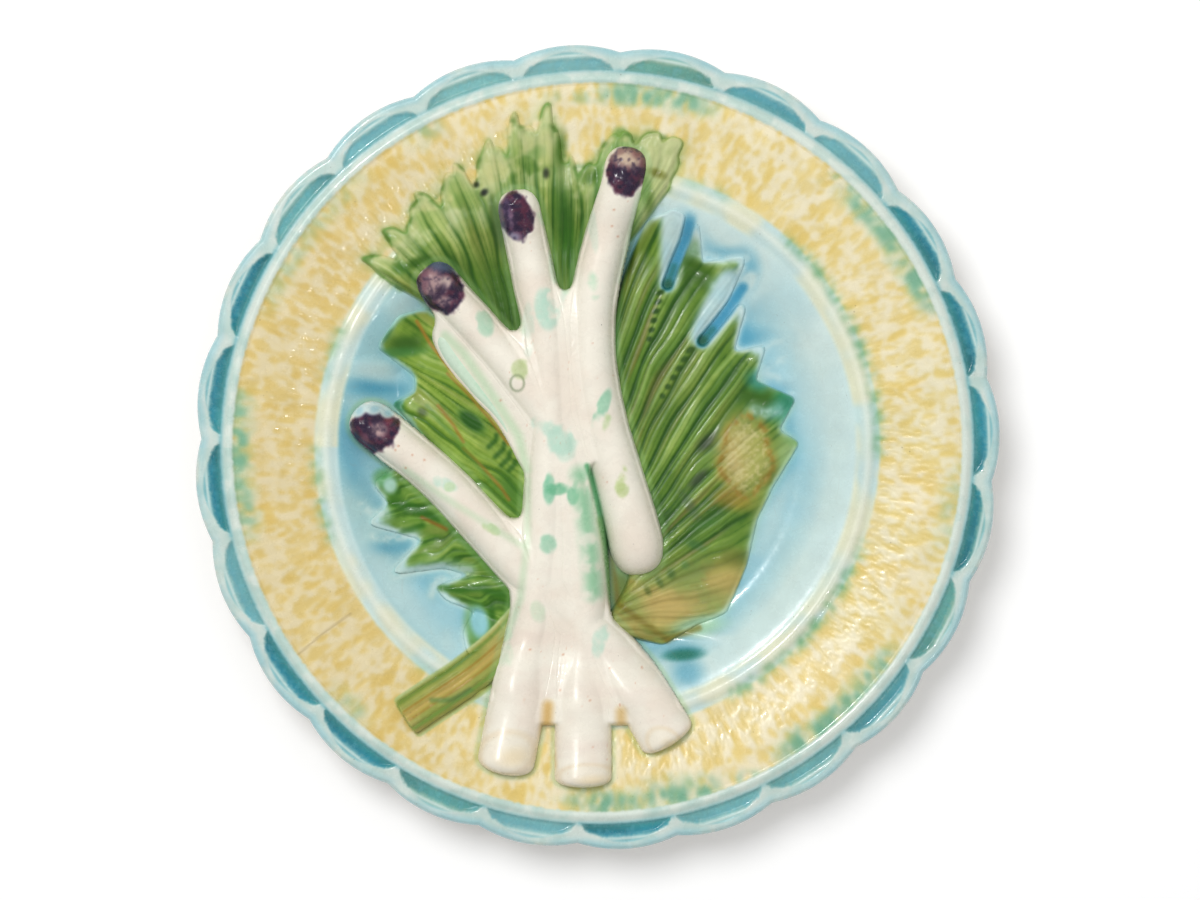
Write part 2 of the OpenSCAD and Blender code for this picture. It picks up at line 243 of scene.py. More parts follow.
def ring_round(x, y, rx, ry, wave, count):
    """Seen places round an oval, whose line swings in and out by wave."""
    return [(x + (rx + wave * np.sin(5 * k)) * np.cos(k), y + (ry + wave * np.cos(4 * k)) * np.sin(k))
            for k in np.linspace(0, 2 * np.pi, count)]


# The body's heights, in mm


def drape_z(r):
    return (FLOOR_H + (LIP_H - FLOOR_H) * ease((r - FLOOR_R) / (LIP_IN_R - FLOOR_R))
            + (BORDER_H - LIP_H) * ease((r - LIP_IN_R) / (BORDER_IN_R - LIP_IN_R)))


def arch(crest_r, from_r, half):
    """Middle and radius of the circle that touches crest_r and crosses from_r at half to either side."""
    middle = (crest_r ** 2 - from_r ** 2) / (2 * (crest_r - from_r * np.cos(half)))
    return middle, crest_r - middle


OUTLINE = arch(PLATE_R, PLATE_R - NOTCH, HALF_STEP)
BEAD_OUT_R = BEAD_R + BEAD_W / 2
SHALLOW = arch(PLATE_R - 2.3, BEAD_OUT_R, .97 * HALF_STEP)
BAND_W, BAND_HALF = 4.0, 12.9  # the deep band along the bead in each scallop
EVEN_TURNS = np.radians(360 * np.arange(SCALLOPS) / SCALLOPS)
SCALLOP_AT = np.radians(2.5) + EVEN_TURNS + np.radians(1.9) * (1 - np.cos(EVEN_TURNS))
SHALLOW_D, DEEP_D = .4, .5  # how deep the two crescents of a scallop are cut
BARK_IN_R, BARK_OUT_R, BARK_H = 80.2, 103.4, .13
BARK_WAVES = ((54, 5.6, 6), (84, 4.0, 8))  # waves round the rim, length outwards in mm, and seed of the noise
EDGE_ROUND_H, EDGE_ROUND_W = 1.5, 1.7
BELOW_CAD = .05  # how far the visible surface stays below the CAD's

# Lobes of the leaf that lie in the well under blue glaze: place, half sizes, turn and height
BLUE_LOBES = [
    (378, 364, 34, 8, -4, 1.0), (405, 380, 9, 20, 10, .9), (362, 398, 24, 6, -20, .9),
    (655, 225, 12, 36, 8, 1.3), (715, 262, 26, 5, -14, 1.0), (735, 268, 8, 10, 40, .8),
    (764, 365, 8, 20, 38, .8), (772, 372, 20, 6, -25, .7), (697, 636, 26, 5, -8, 1.1),
    (775, 398, 26, 5, 5, .5), (352, 335, 14, 26, 35, .6), (400, 300, 12, 22, -40, .6),
    (752, 300, 8, 26, -40, .7)]


def in_scallop(x, y):
    """Which scallop a point lies in, and the point turned to that scallop's own axis."""
    a = np.arctan2(y, x)
    off = (a[..., None] - SCALLOP_AT + np.pi) % (2 * np.pi) - np.pi
    k = np.abs(off).argmin(-1)
    turned = np.take_along_axis(off, k[..., None], -1)[..., 0]
    r = np.hypot(x, y)
    return k, r * np.cos(turned), r * np.sin(turned)


def inside(circle, u, v):
    return circle[1] - np.hypot(u - circle[0], v)


def scallop_forms(x, y):
    """Distances in mm inside the outline, the shallow crescent and the deep one, and the scallop's number."""
    k, u, v = in_scallop(x, y)
    r = np.hypot(x, y)
    past_bead = r - BEAD_OUT_R - .15
    shallow = np.minimum(inside(SHALLOW, u, v), past_bead)
    deep = np.minimum(past_bead, BAND_W * np.clip(1 - (np.abs(v) / BAND_HALF) ** 5, 0, 1) ** .5 - past_bead)
    out = np.where(r > BEAD_R, inside(OUTLINE, u, v), PLATE_R - r)
    return out, shallow, deep, k, v


def bark(x, y):
    """The rim's bark relief from 0 in its pits to 1 on its ridges, which run outwards in short waves."""
    r, a = np.hypot(x, y), np.arctan2(y, x)
    sway = 1.3 * (noise(a * 16, r / 5, 5, 2) - .5)
    ridges = np.zeros_like(r)
    for waves, length, seed in BARK_WAVES:
        n = noise(a * waves + sway, r / length, seed, 2)
        ridges = np.maximum(ridges, np.exp(-((n - .5) / .1) ** 2))
    grain = noise(a * 70, r / 2.2, 7, 2)
    return np.clip(.8 * ridges + .3 * (grain - .3), 0, 1)


def lobes_over(x, y):
    """Height of the blue-glazed lobes over the body."""
    height = np.zeros_like(x)
    for px, py, rx, ry, turn, lobe_h in BLUE_LOBES:
        u, v = oval(px, py, rx, ry, turn, x, y)
        height = np.maximum(height, lobe_h * np.exp(-(u ** 2 + v ** 2)))
    return height


def body_z(x, y):
    """Height of the body's top, with its lip, bead, bark relief, scallops and blue-glazed lobes."""
    r = np.hypot(x, y)
    out, shallow, deep, _, _ = scallop_forms(x, y)
    z = drape_z(r) + LIP_RISE * bump((r - LIP_R) / (LIP_W / 2))
    z += .75 * BEAD_RISE * bump((r - BEAD_R) / (BEAD_W / 2))
    z += BARK_H * (bark(x, y) - .5) * (ease((r - BARK_IN_R) / 1.8) * ease((BARK_OUT_R - r) / 1.6))
    z += -SHALLOW_D * ease((shallow + .1) / 1.1) - DEEP_D * ease((deep + .1) / 1.1)
    z += .25 * np.exp(-((deep + .55) / .45) ** 2) * ease(shallow / .8)
    z -= EDGE_ROUND_H * np.clip(1 - out / EDGE_ROUND_W, 0, 1) ** 2
    return z - BELOW_CAD + lobes_over(x, y)


BODY = body_z(GX, GY)

# The leaf's heights, in mm
LEAF_H, CROWN_H, RIB_H, EDGE_T = 2.2, 3.6, .85, .8
FINGERS = {"leaf_crown": .14, "leaf_right": .05}  # depth of the notches in the lobes' ends, in shares


def fan(leaf, t, v):
    """Points of a leaf part at shares t along its lobes and v from its root line outwards."""
    root, edge = curve_at(leaf["root"], t), line_at(leaf["lobes"], t)
    bend = curve_at(leaf["bend"], t) if "bend" in leaf else (root + edge) / 2
    v = v[..., None]
    return root * (1 - v) ** 2 + 2 * bend * v * (1 - v) + edge * v ** 2


def stations(shares, t, tip_w, butt_w, tip_halves, butt_halves):
    """Middle, side direction, half width and end rounding of a form at shares t, as in part.scad."""
    p = np.array(shares, float) * PLATE_R
    length = np.linalg.norm(p[-1] - p[0])
    half = (tip_w + (butt_w - tip_w) * ease(t)) / 2
    tip = np.minimum(1, t * length / (half * tip_halves))
    butt = np.minimum(1, (1 - t) * length / (half * butt_halves))
    ends = np.sqrt(1 - (1 - tip) ** 2) * np.sqrt(1 - (1 - butt) ** 2)
    return curve_at(shares, t), side_at(shares, t), half, ends


def strip(shares, tip_w, butt_w, tip_halves, butt_halves, grow=0.0):
    """Grid fields of a round form: where it lies, its share along, and its share across from -1 to 1."""
    t, s = np.meshgrid(np.linspace(0, 1, 1400), np.linspace(-1, 1, 160), indexing="ij")
    middle, side, half, ends = stations(shares, t, tip_w, butt_w, tip_halves, butt_halves)
    wide = half * np.maximum(ends, .2) + grow
    return splat(middle + side * (s * wide)[..., None], t, s)


# The two slots of the right leaf as seen: a wedge that widens outwards, and a channel along its foot
CHANNELS = [[(668, 283), (675, 264), (686, 238), (695, 200)],
            [(704, 340), (714, 328), (731, 306), (752, 276)]]
WEDGE, CHANNEL = np.zeros_like(GX), np.zeros_like(GX)
for route, channel in zip(SLOTS, CHANNELS):
    WEDGE = np.maximum(WEDGE, strip(route, 4.4, 11, 1, .2)[0])
    CHANNEL = np.maximum(CHANNEL, stroke(channel, 5.6, .35))
WEDGE_SOFT = blur(WEDGE, 1.9)


def leaf_fields(name):
    """Soft coverage from 0 to 1, share along the lobes, share outwards, and height in mm of a leaf part."""
    leaf = LEAVES[name]
    ribs = leaf["ribs"]
    t, v = np.meshgrid(np.linspace(0, 1, 260 * ribs), np.linspace(0, 1, 330), indexing="ij")
    inside_leaf, along, out = splat(fan(leaf, t, v), t, v)
    cover = inside_leaf.astype(float)
    spread = blur(cover, 1.1) + 1e-6
    along = np.where(inside_leaf, along, blur(along * inside_leaf, 1.1) / spread)
    out = np.where(inside_leaf, out, blur(out * inside_leaf, 1.1) / spread)
    sway = (.5 if name == "leaf_right" else .8) / ribs
    wander = along + sway * (noise(along * ribs * .6, out * 3, 61, 2) - .5)
    rib = np.abs(np.cos(np.pi * ribs * wander)) ** .8
    cover *= 1 - ease((out - 1.02 + FINGERS.get(name, 0) * (1 - rib) * (GR > 60)) / .03)
    if name == "leaf_right":
        cover *= 1 - ease(2 * CHANNEL - .5)
    soft, wide, wider = (blur(cover, size) for size in (.75, 1.5, 2.3))
    fine = np.abs(np.cos(np.pi * ribs * 3 * wander)) ** .6
    strong = .55 + .9 * noise(along * ribs * 1.3, out * 4, 64, 2)
    rib_h = RIB_H * (.5 if name == "leaf_lower" else 1)
    relief = np.clip(.25 + (.54 * rib + .46 * (.4 * rib + .6) * fine - .25) * strong, 0, 1)
    flat = EDGE_T + (LEAF_H - EDGE_T + (CROWN_H - LEAF_H) * (1 - out) + rib_h * relief) * (1 - out ** 6)
    rise = ease((soft - .15) / .6) * (.45 + .55 * ease((wide - .45) / .5))
    brim = np.exp(-((soft - .62) / .2) ** 2)  # the lobes' edges curl up a little
    height = flat * rise + .5 * brim - 1.2 * (1 - ease(soft / .34))
    height -= LIP_RISE * bump((GR - LIP_R) / (LIP_W / 2)) * ease((soft - .2) / .6)
    return dict(soft=soft, wide=wide, wider=wider, along=wander, out=out, rib=relief, height=height)


LEAF = {name: leaf_fields(name) for name in LEAVES}
GROUND = BODY.copy()
for f in LEAF.values():
    GROUND = np.where(f["soft"] > .3, np.maximum(GROUND, BODY + f["height"]), GROUND)

# The spears' heights, in mm
ORDER = {"spear_left": 0, "spear_upper_left": .25, "spear_upper": .5, "spear_right": .8}
# Half widths of length that the rounded tips take, and the cut ends where they aren't CUT_ROUND
TIP_ROUND, CUT_ROUND, BUTT_ROUND = 1.5, .5, {"spear_right": 1.5}
CREASES = ((.9, .95), (2.0, .95), (3.6, .9), (5.5, .7))  # radii and shares of the fillets between the spears
NOTHING = -40.0  # height of a field where its form is not
OPEN_SLITS = [([(598, 470), (603, 520), (610, 570), (622, 620)], 7, .5),
              ([(612, 556), (630, 582), (650, 600)], 13, .3)]


def spear_over(middle_r):
    """Height of a spear over the plate, higher where it bridges the well."""
    on_floor = 1 - ease((middle_r - FLOOR_R) / (LIP_IN_R - FLOOR_R))
    return SPEAR_RIM_H + (SPEAR_FLOOR_H - SPEAR_RIM_H) * on_floor


def spear_stations(name, t):
    """Stations of a spear at shares t."""
    return stations(SPEARS[name], t, SPEAR_TIP_W, SPEAR_BUTT_W, TIP_ROUND, BUTT_ROUND.get(name, CUT_ROUND))


def spear_top(name, t, s):
    """Places and top heights of a spear's own form at shares t along and s across."""
    middle, side, half, ends = spear_stations(name, t)
    place = middle + side * (s * half * np.maximum(ends, .12))[..., None]
    over = spear_over(np.linalg.norm(middle, axis=-1)) * np.maximum(ends, .25)
    round_over = np.clip(1 - np.abs(s) ** 2.2, 0, 1) ** .5
    r = np.linalg.norm(place, axis=-1)
    return place, drape_z(r) + (over - .4 + .35 * ORDER[name]) * round_over


ALONG, ACROSS = np.meshgrid(np.linspace(0, 1, 1800), np.linspace(-1, 1, 170), indexing="ij")
SPEAR_Z = {}
for name in SPEARS:
    covered, z = splat(*spear_top(name, ALONG, ACROSS))
    near = blur(covered.astype(float), .5) + 1e-6
    z = np.where(covered, z, blur(z * covered, .5) / near)
    SPEAR_Z[name] = np.where(near > .05, z - 9 * (1 - ease(near / .5)), NOTHING)

SPEARS_TOP = np.max(list(SPEAR_Z.values()), 0)
SPEARS_ON = (SPEARS_TOP > GROUND - 1).astype(float)
SHOOT_ON = strip(SHOOT, 9, 4, 2, .5)[0].astype(float)


def closed(size):
    """Where gaps narrower than about twice size, in mm, between spears are closed."""
    grown = blur(np.maximum(SPEARS_ON, SHOOT_ON), size) > .1
    return (blur(grown.astype(float), size) > .9).astype(float)


WEB_ON = blur(np.maximum(closed(1.0), closed(2.0) * (GY < -42)), .7) * ease((GY + 82) / 4)
for slit in OPEN_SLITS:
    WEB_ON *= 1 - stroke(*slit)
WEB_H = blur(np.where(SPEARS_ON > 0, SPEARS_TOP - BODY, 0), 2.4) / (blur(SPEARS_ON, 2.4) + 1e-6) * .86 - .5
WEB_Z = np.where(WEB_ON > .4, BODY + WEB_H * ease((WEB_ON - .4) / .5), NOTHING)
UNION = np.maximum(np.maximum(SPEARS_TOP, WEB_Z), GROUND)
JOINED = UNION.copy()
for crease_r, share in CREASES:
    JOINED += share * np.clip(blur(JOINED, crease_r) - JOINED, 0, 3) * ease((blur(WEB_ON, 1.2) - .55) / .35)
FILLED = JOINED - UNION


def joined(own, rival, x, y):
    """A moulded form's height where it meets another: it runs into it and then under it."""
    under = np.clip(rival - own, 0, 8)
    return own + under - 1.3 * under ** 2 / (under + 1) + sample(FILLED, x, y)


# Glaze colours
IVORY, ROSE = (243, 237, 222), (238, 227, 211)
MINT, PALE_MINT = (138, 200, 165), (186, 222, 202)
CREAM, YELLOW, AMBER = (242, 230, 192), (234, 211, 138), (228, 196, 100)
LIP_CREAM = (228, 230, 200)
SKY, PALE_SKY, ICE = (165, 212, 224), (200, 226, 224), (212, 232, 228)
TEAL, DEEP_TEAL = (62, 150, 182), (38, 128, 150)
LEAF_DARK, LEAF_BLACK = (46, 92, 10), (12, 38, 0)
BROWN = (140, 92, 24)
PLUM, PLUM_RED = (40, 24, 52), (78, 36, 58)
RUST_BROWN, PALE_GREEN = (206, 160, 76), (184, 218, 176)


def paint(on, mask, colour, strength=1.0):
    """Lays a colour over a painted grid where mask is above 0."""
    a = np.clip(mask * strength, 0, 1)[..., None]
    on += (np.array(colour, float) - on) * a


def paint_spots(on, spots, mask=1.0, soft=.7):
    """Lays ovals: seen place, half sizes, turn, colour and strength of each."""
    for *place, colour, strength in spots:
        paint(on, spot(*place, soft) * mask, colour, strength)


def paint_strokes(on, strokes, mask=1.0):
    """Lays strokes: seen places, half width, softness, colour and strength of each."""
    for points, width, soft, colour, strength in strokes:
        paint(on, stroke(points, width, soft) * mask, colour, strength)


def paint_curls(on, routes, wash, line):
    """Pale glaze along a torn edge: a wash and a broken line, each of a half width, colour and strength."""
    for route in routes:
        paint(on, stroke(route, wash[0], 1), *wash[1:])
        paint(on, stroke(route, line[0], 1) * ease(3 * FINE - .7), *line[1:])


def blend(mask, a, b):
    """A grid of colours that runs from a at mask 0 to b at mask 1."""
    m = np.clip(mask, 0, 1)[..., None]
    return np.array(a, float) * (1 - m) + np.array(b, float) * m


def arc_span(from_deg, to_deg, soft_deg=4.0):
    """1 between two angles, counterclockwise, with soft ends."""
    a = (np.degrees(GA) - from_deg) % 360
    span = (to_deg - from_deg) % 360
    return ease(a / soft_deg) * ease((span - a) / soft_deg)


CLOUD = patches(9, 11, 4)
FINE = patches(1.6, 12, 3)
STREAKY = noise(GR / 7, GA * 42, 13, 3)

WELL_SPOTS = [
    (745, 268, 13, 17, 0, TEAL, .85), (716, 262, 22, 10, 20, TEAL, .7), (730, 336, 34, 12, 0, TEAL, .75),
    (668, 262, 7, 26, -12, TEAL, .8), (706, 322, 8, 24, -35, TEAL, .8), (690, 240, 14, 16, 0, PALE_SKY, .8),
    (790, 300, 22, 30, 25, SKY, .4), (815, 385, 26, 60, 8, ICE, .5), (758, 372, 14, 9, -40, PALE_SKY, .7),
    (375, 385, 26, 10, 5, TEAL, .8), (350, 450, 14, 42, 18, TEAL, .6), (372, 470, 14, 30, 30, SKY, .5),
    (622, 592, 13, 28, 0, (112, 132, 58), .95), (388, 545, 18, 9, 10, TEAL, .7),
    (425, 600, 40, 22, -45, SKY, .8), (440, 590, 22, 10, -30, TEAL, .4),
    (395, 590, 12, 60, 38, PALE_SKY, .6), (685, 655, 17, 6, 5, DEEP_TEAL, .85),
    (688, 674, 15, 14, 0, TEAL, .6), (735, 690, 40, 10, 15, SKY, .5), (640, 220, 10, 30, 10, PALE_SKY, .5),
    (375, 372, 26, 9, -12, PALE_SKY, .8), (412, 300, 20, 26, -35, PALE_SKY, .6)]


def paint_well(on):
    """Pale blue glaze, deeper where it gathers round the relief and along the foot of the well's wall."""
    on[:] = blend(ease(1.5 * CLOUD - .3), SKY, PALE_SKY)
    paint(on, ease((-GX - 38) / 14), (146, 190, 190), .6)
    # Paler up the wall and towards the right. At the lower right the paler glaze also paints the sheen where
    # the light falls on the wall.
    right = ease((GX - 10) / 50) * ease((20 - GY) / 70)
    paint(on, ease((GR - 46) / 26) * ease((GX + 40) / 60), (216, 234, 228), .75)
    paint(on, right * ease((GR - 30) / 30), ICE, .6)
    by_leaf = blur(LEAF["leaf_right"]["soft"], 4.2) * ease((GX - 18) / 8) * ease((GY + 30) / 30)
    paint(on, ease((by_leaf - .08) / .4) * (.5 + .7 * CLOUD), (96, 172, 198), .8)
    gathered = np.clip((blur(GROUND, 4.0) - GROUND) / 1.6, 0, 1) * (GR < 76)
    paint(on, gathered * ease((74 - GR) / 8), TEAL, .55)
    paint_spots(on, WELL_SPOTS, GR < 76.5, .8)


# Green glaze that ran along the rim's inner and outer edge: from and to, in degrees, and strength
INNER_FRINGE = [
    (-4, 50, .8), (152, 168, .5), (178, 202, .6), (296, 342, .9), (60, 74, .3), (225, 250, .25)]
OUTER_FRINGE = [
    (20, 50, 1), (68, 92, .95), (114, 124, .7), (168, 197, .85), (220, 232, .6), (264, 292, .9),
    (298, 328, 1), (340, 360, .3), (128, 160, .3)]
RIM_STAINS = [
    (935, 290, 12, 16), (870, 215, 12, 8), (835, 180, 12, 6), (650, 100, 40, 6), (590, 96, 30, 6),
    (690, 790, 40, 12), (600, 800, 30, 8), (760, 780, 26, 8), (820, 735, 26, 10), (240, 440, 6, 30)]
CRACK = [(262, 678), (281, 668), (300, 653), (322, 634), (350, 614)]


def paint_rim(on):
    """The well's cream lip and the yellow bark rim with its stains."""
    lip = ease((GR - 73.6) / 1.6)
    paint(on, lip, blend(ease(2 * noise(GA * 9, GR / 6, 14, 2) - .5), LIP_CREAM, PALE_SKY))
    paint(on, np.exp(-((GR - 77.9) / 1.3) ** 2), (240, 240, 222), .5)
    rim = ease((GR - 80.6) / 1.2)
    relief = blur(bark(GX, GY), .5)
    paint(on, rim, blend(ease(1.5 * relief - .25), YELLOW, CREAM))
    amber = np.clip(2.4 * (noise(GA * 96, GR / 4.4, 15, 2) - .45), 0, 1) * (1 - relief)
    paint(on, rim * blur(ease(3 * amber), .5), AMBER, .6)
    paint(on, rim * ease((relief - .45) / .35), (244, 234, 204), .5)
    paint(on, rim * ease(2.4 * noise(GA * 15, GR / 12, 17, 2) - 1.2), (238, 226, 186), .35)
    # Darker and yellower towards the left: painted shade on the rim's left side, with a yellower glaze there.
    on *= 1 - (rim * ease((-GX - 10) / 70))[..., None] * np.array([.05, .07, .12])
    fringe = .5 * STREAKY + .5 * noise(GA * 60, GR / 2.8, 16, 2)
    broken = blur(ease(2.6 * fringe - .8), .45)
    inner = np.exp(-((GR - 80.8) / 1.9) ** 2)
    outer = ease((GR - 94.5 - 4 * STREAKY) / 5)
    for start, end, strength in INNER_FRINGE:
        paint(on, inner * arc_span(start, end) * broken, (110, 168, 116), strength)
    for start, end, strength in OUTER_FRINGE:
        span = arc_span(start, end, 7)
        paint(on, rim * outer * span * (.35 + .65 * broken), (158, 200, 168), .8 * strength)
        paint(on, rim * ease((GR - 98.5) / 3.5) * span * broken, (100, 166, 134), .7 * strength)
    for stain in RIM_STAINS:
        paint(on, spot(*stain, 0, .9) * broken * rim, (108, 172, 140), .7)
    paint(on, stroke(CRACK, .9, .9) * rim, (160, 136, 92), .45)


# How dark the glaze lies in each scallop, from 0 pale to 1 deep, and how much it turns green or yellow
DEPTHS = [.9, .95, .9, .35, .5, .55, .25, .3, .35, .5, 1, .9,
          .95, .35, .9, .9, .6, .3, .85, .35, .4, .6, .6, .95]
GREENS = [0, 0, 0, .1, 0, .7, .2, .3, .1, .3, 0, 0, 0, .1, 0, 0, .5, .1, 0, .2, .3, .1, .6, .3]


def paint_border(on, x, y):
    """Bead and scallops, at points x, y in mm, since the border's own mesh is finer than the grid."""
    r, a = np.hypot(x, y), np.arctan2(y, x)
    out, shallow, deep, k, across = scallop_forms(x, y)
    wash = noise(a * 30, r / 4, 21, 3)
    streaks = noise(a * 90, r / 2.2, 22, 2)
    drift = noise(a * 11, r / 9, 23, 2)
    on[:] = blend(ease(1.6 * wash - .3), (190, 214, 206), (212, 224, 216))
    depth, green = np.array(DEPTHS)[k], np.array(GREENS)[k]
    turn = np.clip(.5 - across / 22, 0, 1)  # the glaze ran towards each scallop's clockwise end
    thin = blend(green, (116, 190, 198), (156, 190, 146))
    thin = thin * (1 - .1 * depth[..., None]) * (.94 + .12 * wash[..., None])
    paint(on, ease((shallow + .1) / .9), thin, .45 + .5 * depth)
    line = np.exp(-((deep + .55) / .5) ** 2) * ease((shallow + .1) / .8)
    paint(on, line, (208, 228, 222), .85)
    paint(on, np.exp(-((out - 2.3) / .5) ** 2) * ease((shallow + .1) / .5), (96, 176, 188), .55 + .35 * depth)
    outward = np.clip((r - BEAD_OUT_R) / BAND_W, 0, 1)
    deep_c = blend(np.maximum(green, .8 * (1 - outward)), (8, 122, 154), (64, 146, 124))
    pale_c = blend(green, (140, 196, 204), (172, 196, 158))
    body = deep_c * depth[..., None] + pale_c * (1 - depth[..., None])
    body = body * (1.04 - .16 * (depth * turn)[..., None]) * (.92 + .18 * drift[..., None])
    grain = noise(x / .7, y / .7, 25, 2)
    edge = deep + .3 + .8 * (streaks - .5) + .9 * (grain - .5)
    body = body * (.95 + .1 * grain)[..., None]
    paint(on, ease(edge / 1.7), body, .7 + .3 * np.clip(depth + .3 * turn, 0, 1))
    paint(on, ease((deep - .2) / .8) * ease(2.6 * streaks - 1.2), (116, 186, 200), .3)
    rim_edge = 1 - ease((out - .3) / 1.5)
    paint(on, rim_edge, blend(ease(2 * streaks - .5), (212, 220, 208), (176, 212, 210)), .8)
    notch = 1 - ease((out - 1.2) / 2.2)
    paint(on, notch * ease((r - 107.4) / 1) * ease(2.2 * drift - .5), (148, 202, 212), .6)
    bead = np.exp(-((r - BEAD_R - .1) / 1.7) ** 4)
    # The bead is paler in patches of its glaze, and paler towards the right as a painted highlight.
    pale_glaze_and_highlight = ease(2.2 * wash - .6) + .6 * ease((x - 30) / 60)
    paint(on, bead, blend(pale_glaze_and_highlight, (190, 216, 206), (222, 233, 222)), .9)
    paint(on, np.exp(-((r - 107.6) / .7) ** 2) * (.4 + .6 * depth), (104, 176, 186), .6)
    stain = ease((104.3 - r) / 1.4)
    paint(on, stain * ease(2.2 * noise(a * 30, r / 5, 24, 2) - .5), (168, 206, 182), .7)
    paint(on, ease((104.5 + .5 * (streaks - .5) - r) / .8), sample(GLAZE, x, y))


def leaf_colour(f, light, mid, dark=LEAF_DARK):
    """Green glaze of a leaf part: thin and pale on its ribs, gathered dark in its grooves."""
    groove = np.clip(1 - f["rib"], 0, 1)
    lines = noise(f["along"] * 100, f["out"] * 1.8, 62, 2)
    shade = .95 * groove ** 1.2 + .7 * (CLOUD - .5) + .25 * (FINE - .5) + .75 * (lines - .5) + .28
    shade = np.clip(shade, 0, 1)
    colours = blend(ease(shade * 2), light, mid) * (shade < .5)[..., None]
    colours += blend(ease(shade * 2 - 1), mid, dark) * (shade >= .5)[..., None]
    olive = ease(3 * noise(f["along"] * 18, f["out"] * 2, 63, 2) - 1.6)
    paint(colours, olive, (132, 134, 56), .45)
    return colours


def edge_of(f, at, width, wide=False):
    """1 along a leaf part's edge, where its softened coverage is near at."""
    return np.exp(-(((f["wide"] if wide else f["soft"]) - at) / width) ** 2)


def leaf_start(name, softness, seed, sway):
    """A leaf part's fields, its coverage, and a ragged version of its coverage."""
    f = LEAF[name]
    return f, ease((f["soft"] - softness[0]) / softness[1]), f["wider"] + sway * (patches(3, seed, 3) - .5)


CROWN_SPOTS = [
    (500, 290, 18, 40, 30, LEAF_DARK, .7), (565, 225, 9, 46, 6, (40, 96, 14), .8),
    (498, 225, 6, 26, 10, (44, 70, 22), .8), (560, 150, 6, 18, -8, LEAF_DARK, .6),
    (484, 192, 4, 3, 40, (24, 34, 18), 1), (476, 184, 3, 3, 0, (30, 42, 22), .9),
    (546, 173, 3, 5, 0, (34, 44, 20), .9), (418, 262, 12, 5, 20, LEAF_DARK, .8),
    (590, 176, 8, 8, 0, LEAF_DARK, .6), (620, 133, 6, 6, 0, (120, 158, 72), .8),
    (657, 173, 9, 4, -20, (118, 122, 40), .9), (646, 190, 6, 22, 12, LEAF_DARK, .6),
    (400, 268, 8, 6, 0, (60, 112, 30), .7), (440, 325, 24, 12, 20, (120, 170, 100), .6)]


def paint_crown(on):
    f, cover, ragged = leaf_start("leaf_crown", (.3, .35), 34, .35)
    tips = ease((f["out"] - .6) / .4)
    paint(on, cover, (208, 210, 150), .8)
    kept = ease((ragged - .42) / .3) * ease(3 * patches(5, 38, 3) - 1.2)
    green = cover * (1 - .85 * ease((f["out"] - .62) / .22) * (1 - kept))
    paint(on, green, leaf_colour(f, (172, 188, 102), (122, 150, 60)))
    streaks = ease(2.4 * noise(f["along"] * 34, f["out"] * 2, 39, 2) - .6)
    paint(on, green * ease((.74 - f["out"]) / .6) * streaks, LEAF_DARK, .85)
    # Darkest green near the root, where the crown runs in under the spears: darker glaze there with painted
    # shade.
    paint(on, green * ease((.45 - f["out"]) / .4), LEAF_BLACK, .5)
    mottled = patches(6, 31, 2)
    paint(on, green * tips, blend(ease(2.4 * CLOUD - .8), (180, 198, 124), (128, 166, 76)), .75)
    paint(on, edge_of(f, .72, .2, True) * tips, (196, 208, 150), .6)
    paint(on, edge_of(f, .55, .24) * tips * ease(3 * mottled - .9), (100, 148, 62), .85)
    paint(on, cover * tips * ease(3 * mottled - 1.9), (78, 132, 44), .6)
    groove = np.clip(1 - f["rib"], 0, 1) ** 1.5
    paint(on, cover * groove * ease((.98 - f["out"]) / .3), (40, 92, 14), .85)
    halo = np.clip(blur(cover, 2.2) * 1.8, 0, 1) * (1 - cover) * ease((GR - 79) / 3)
    paint(on, halo * ease(2.6 * mottled - .7), (176, 194, 124), .75)
    faded = cover * tips * (1 - ease((f["wide"] - .45) / .35))
    paint(on, faded * (1 - ease(3 * mottled - .9)), (226, 214, 156), .9)
    hooks = ease(3.4 * patches(2.4, 58, 2) - 1.5) * np.exp(-((f["wide"] - .5) / .22) ** 2)
    paint(on, hooks * ease((f["out"] - .55) / .2), (84, 126, 46), .75)
    right = ease((GX - 9) / 5)
    paint(on, cover * right, (206, 210, 152), .7)
    paint(on, edge_of(f, .45, .16) * right, (138, 168, 84), .6)
    paint_spots(on, CROWN_SPOTS)


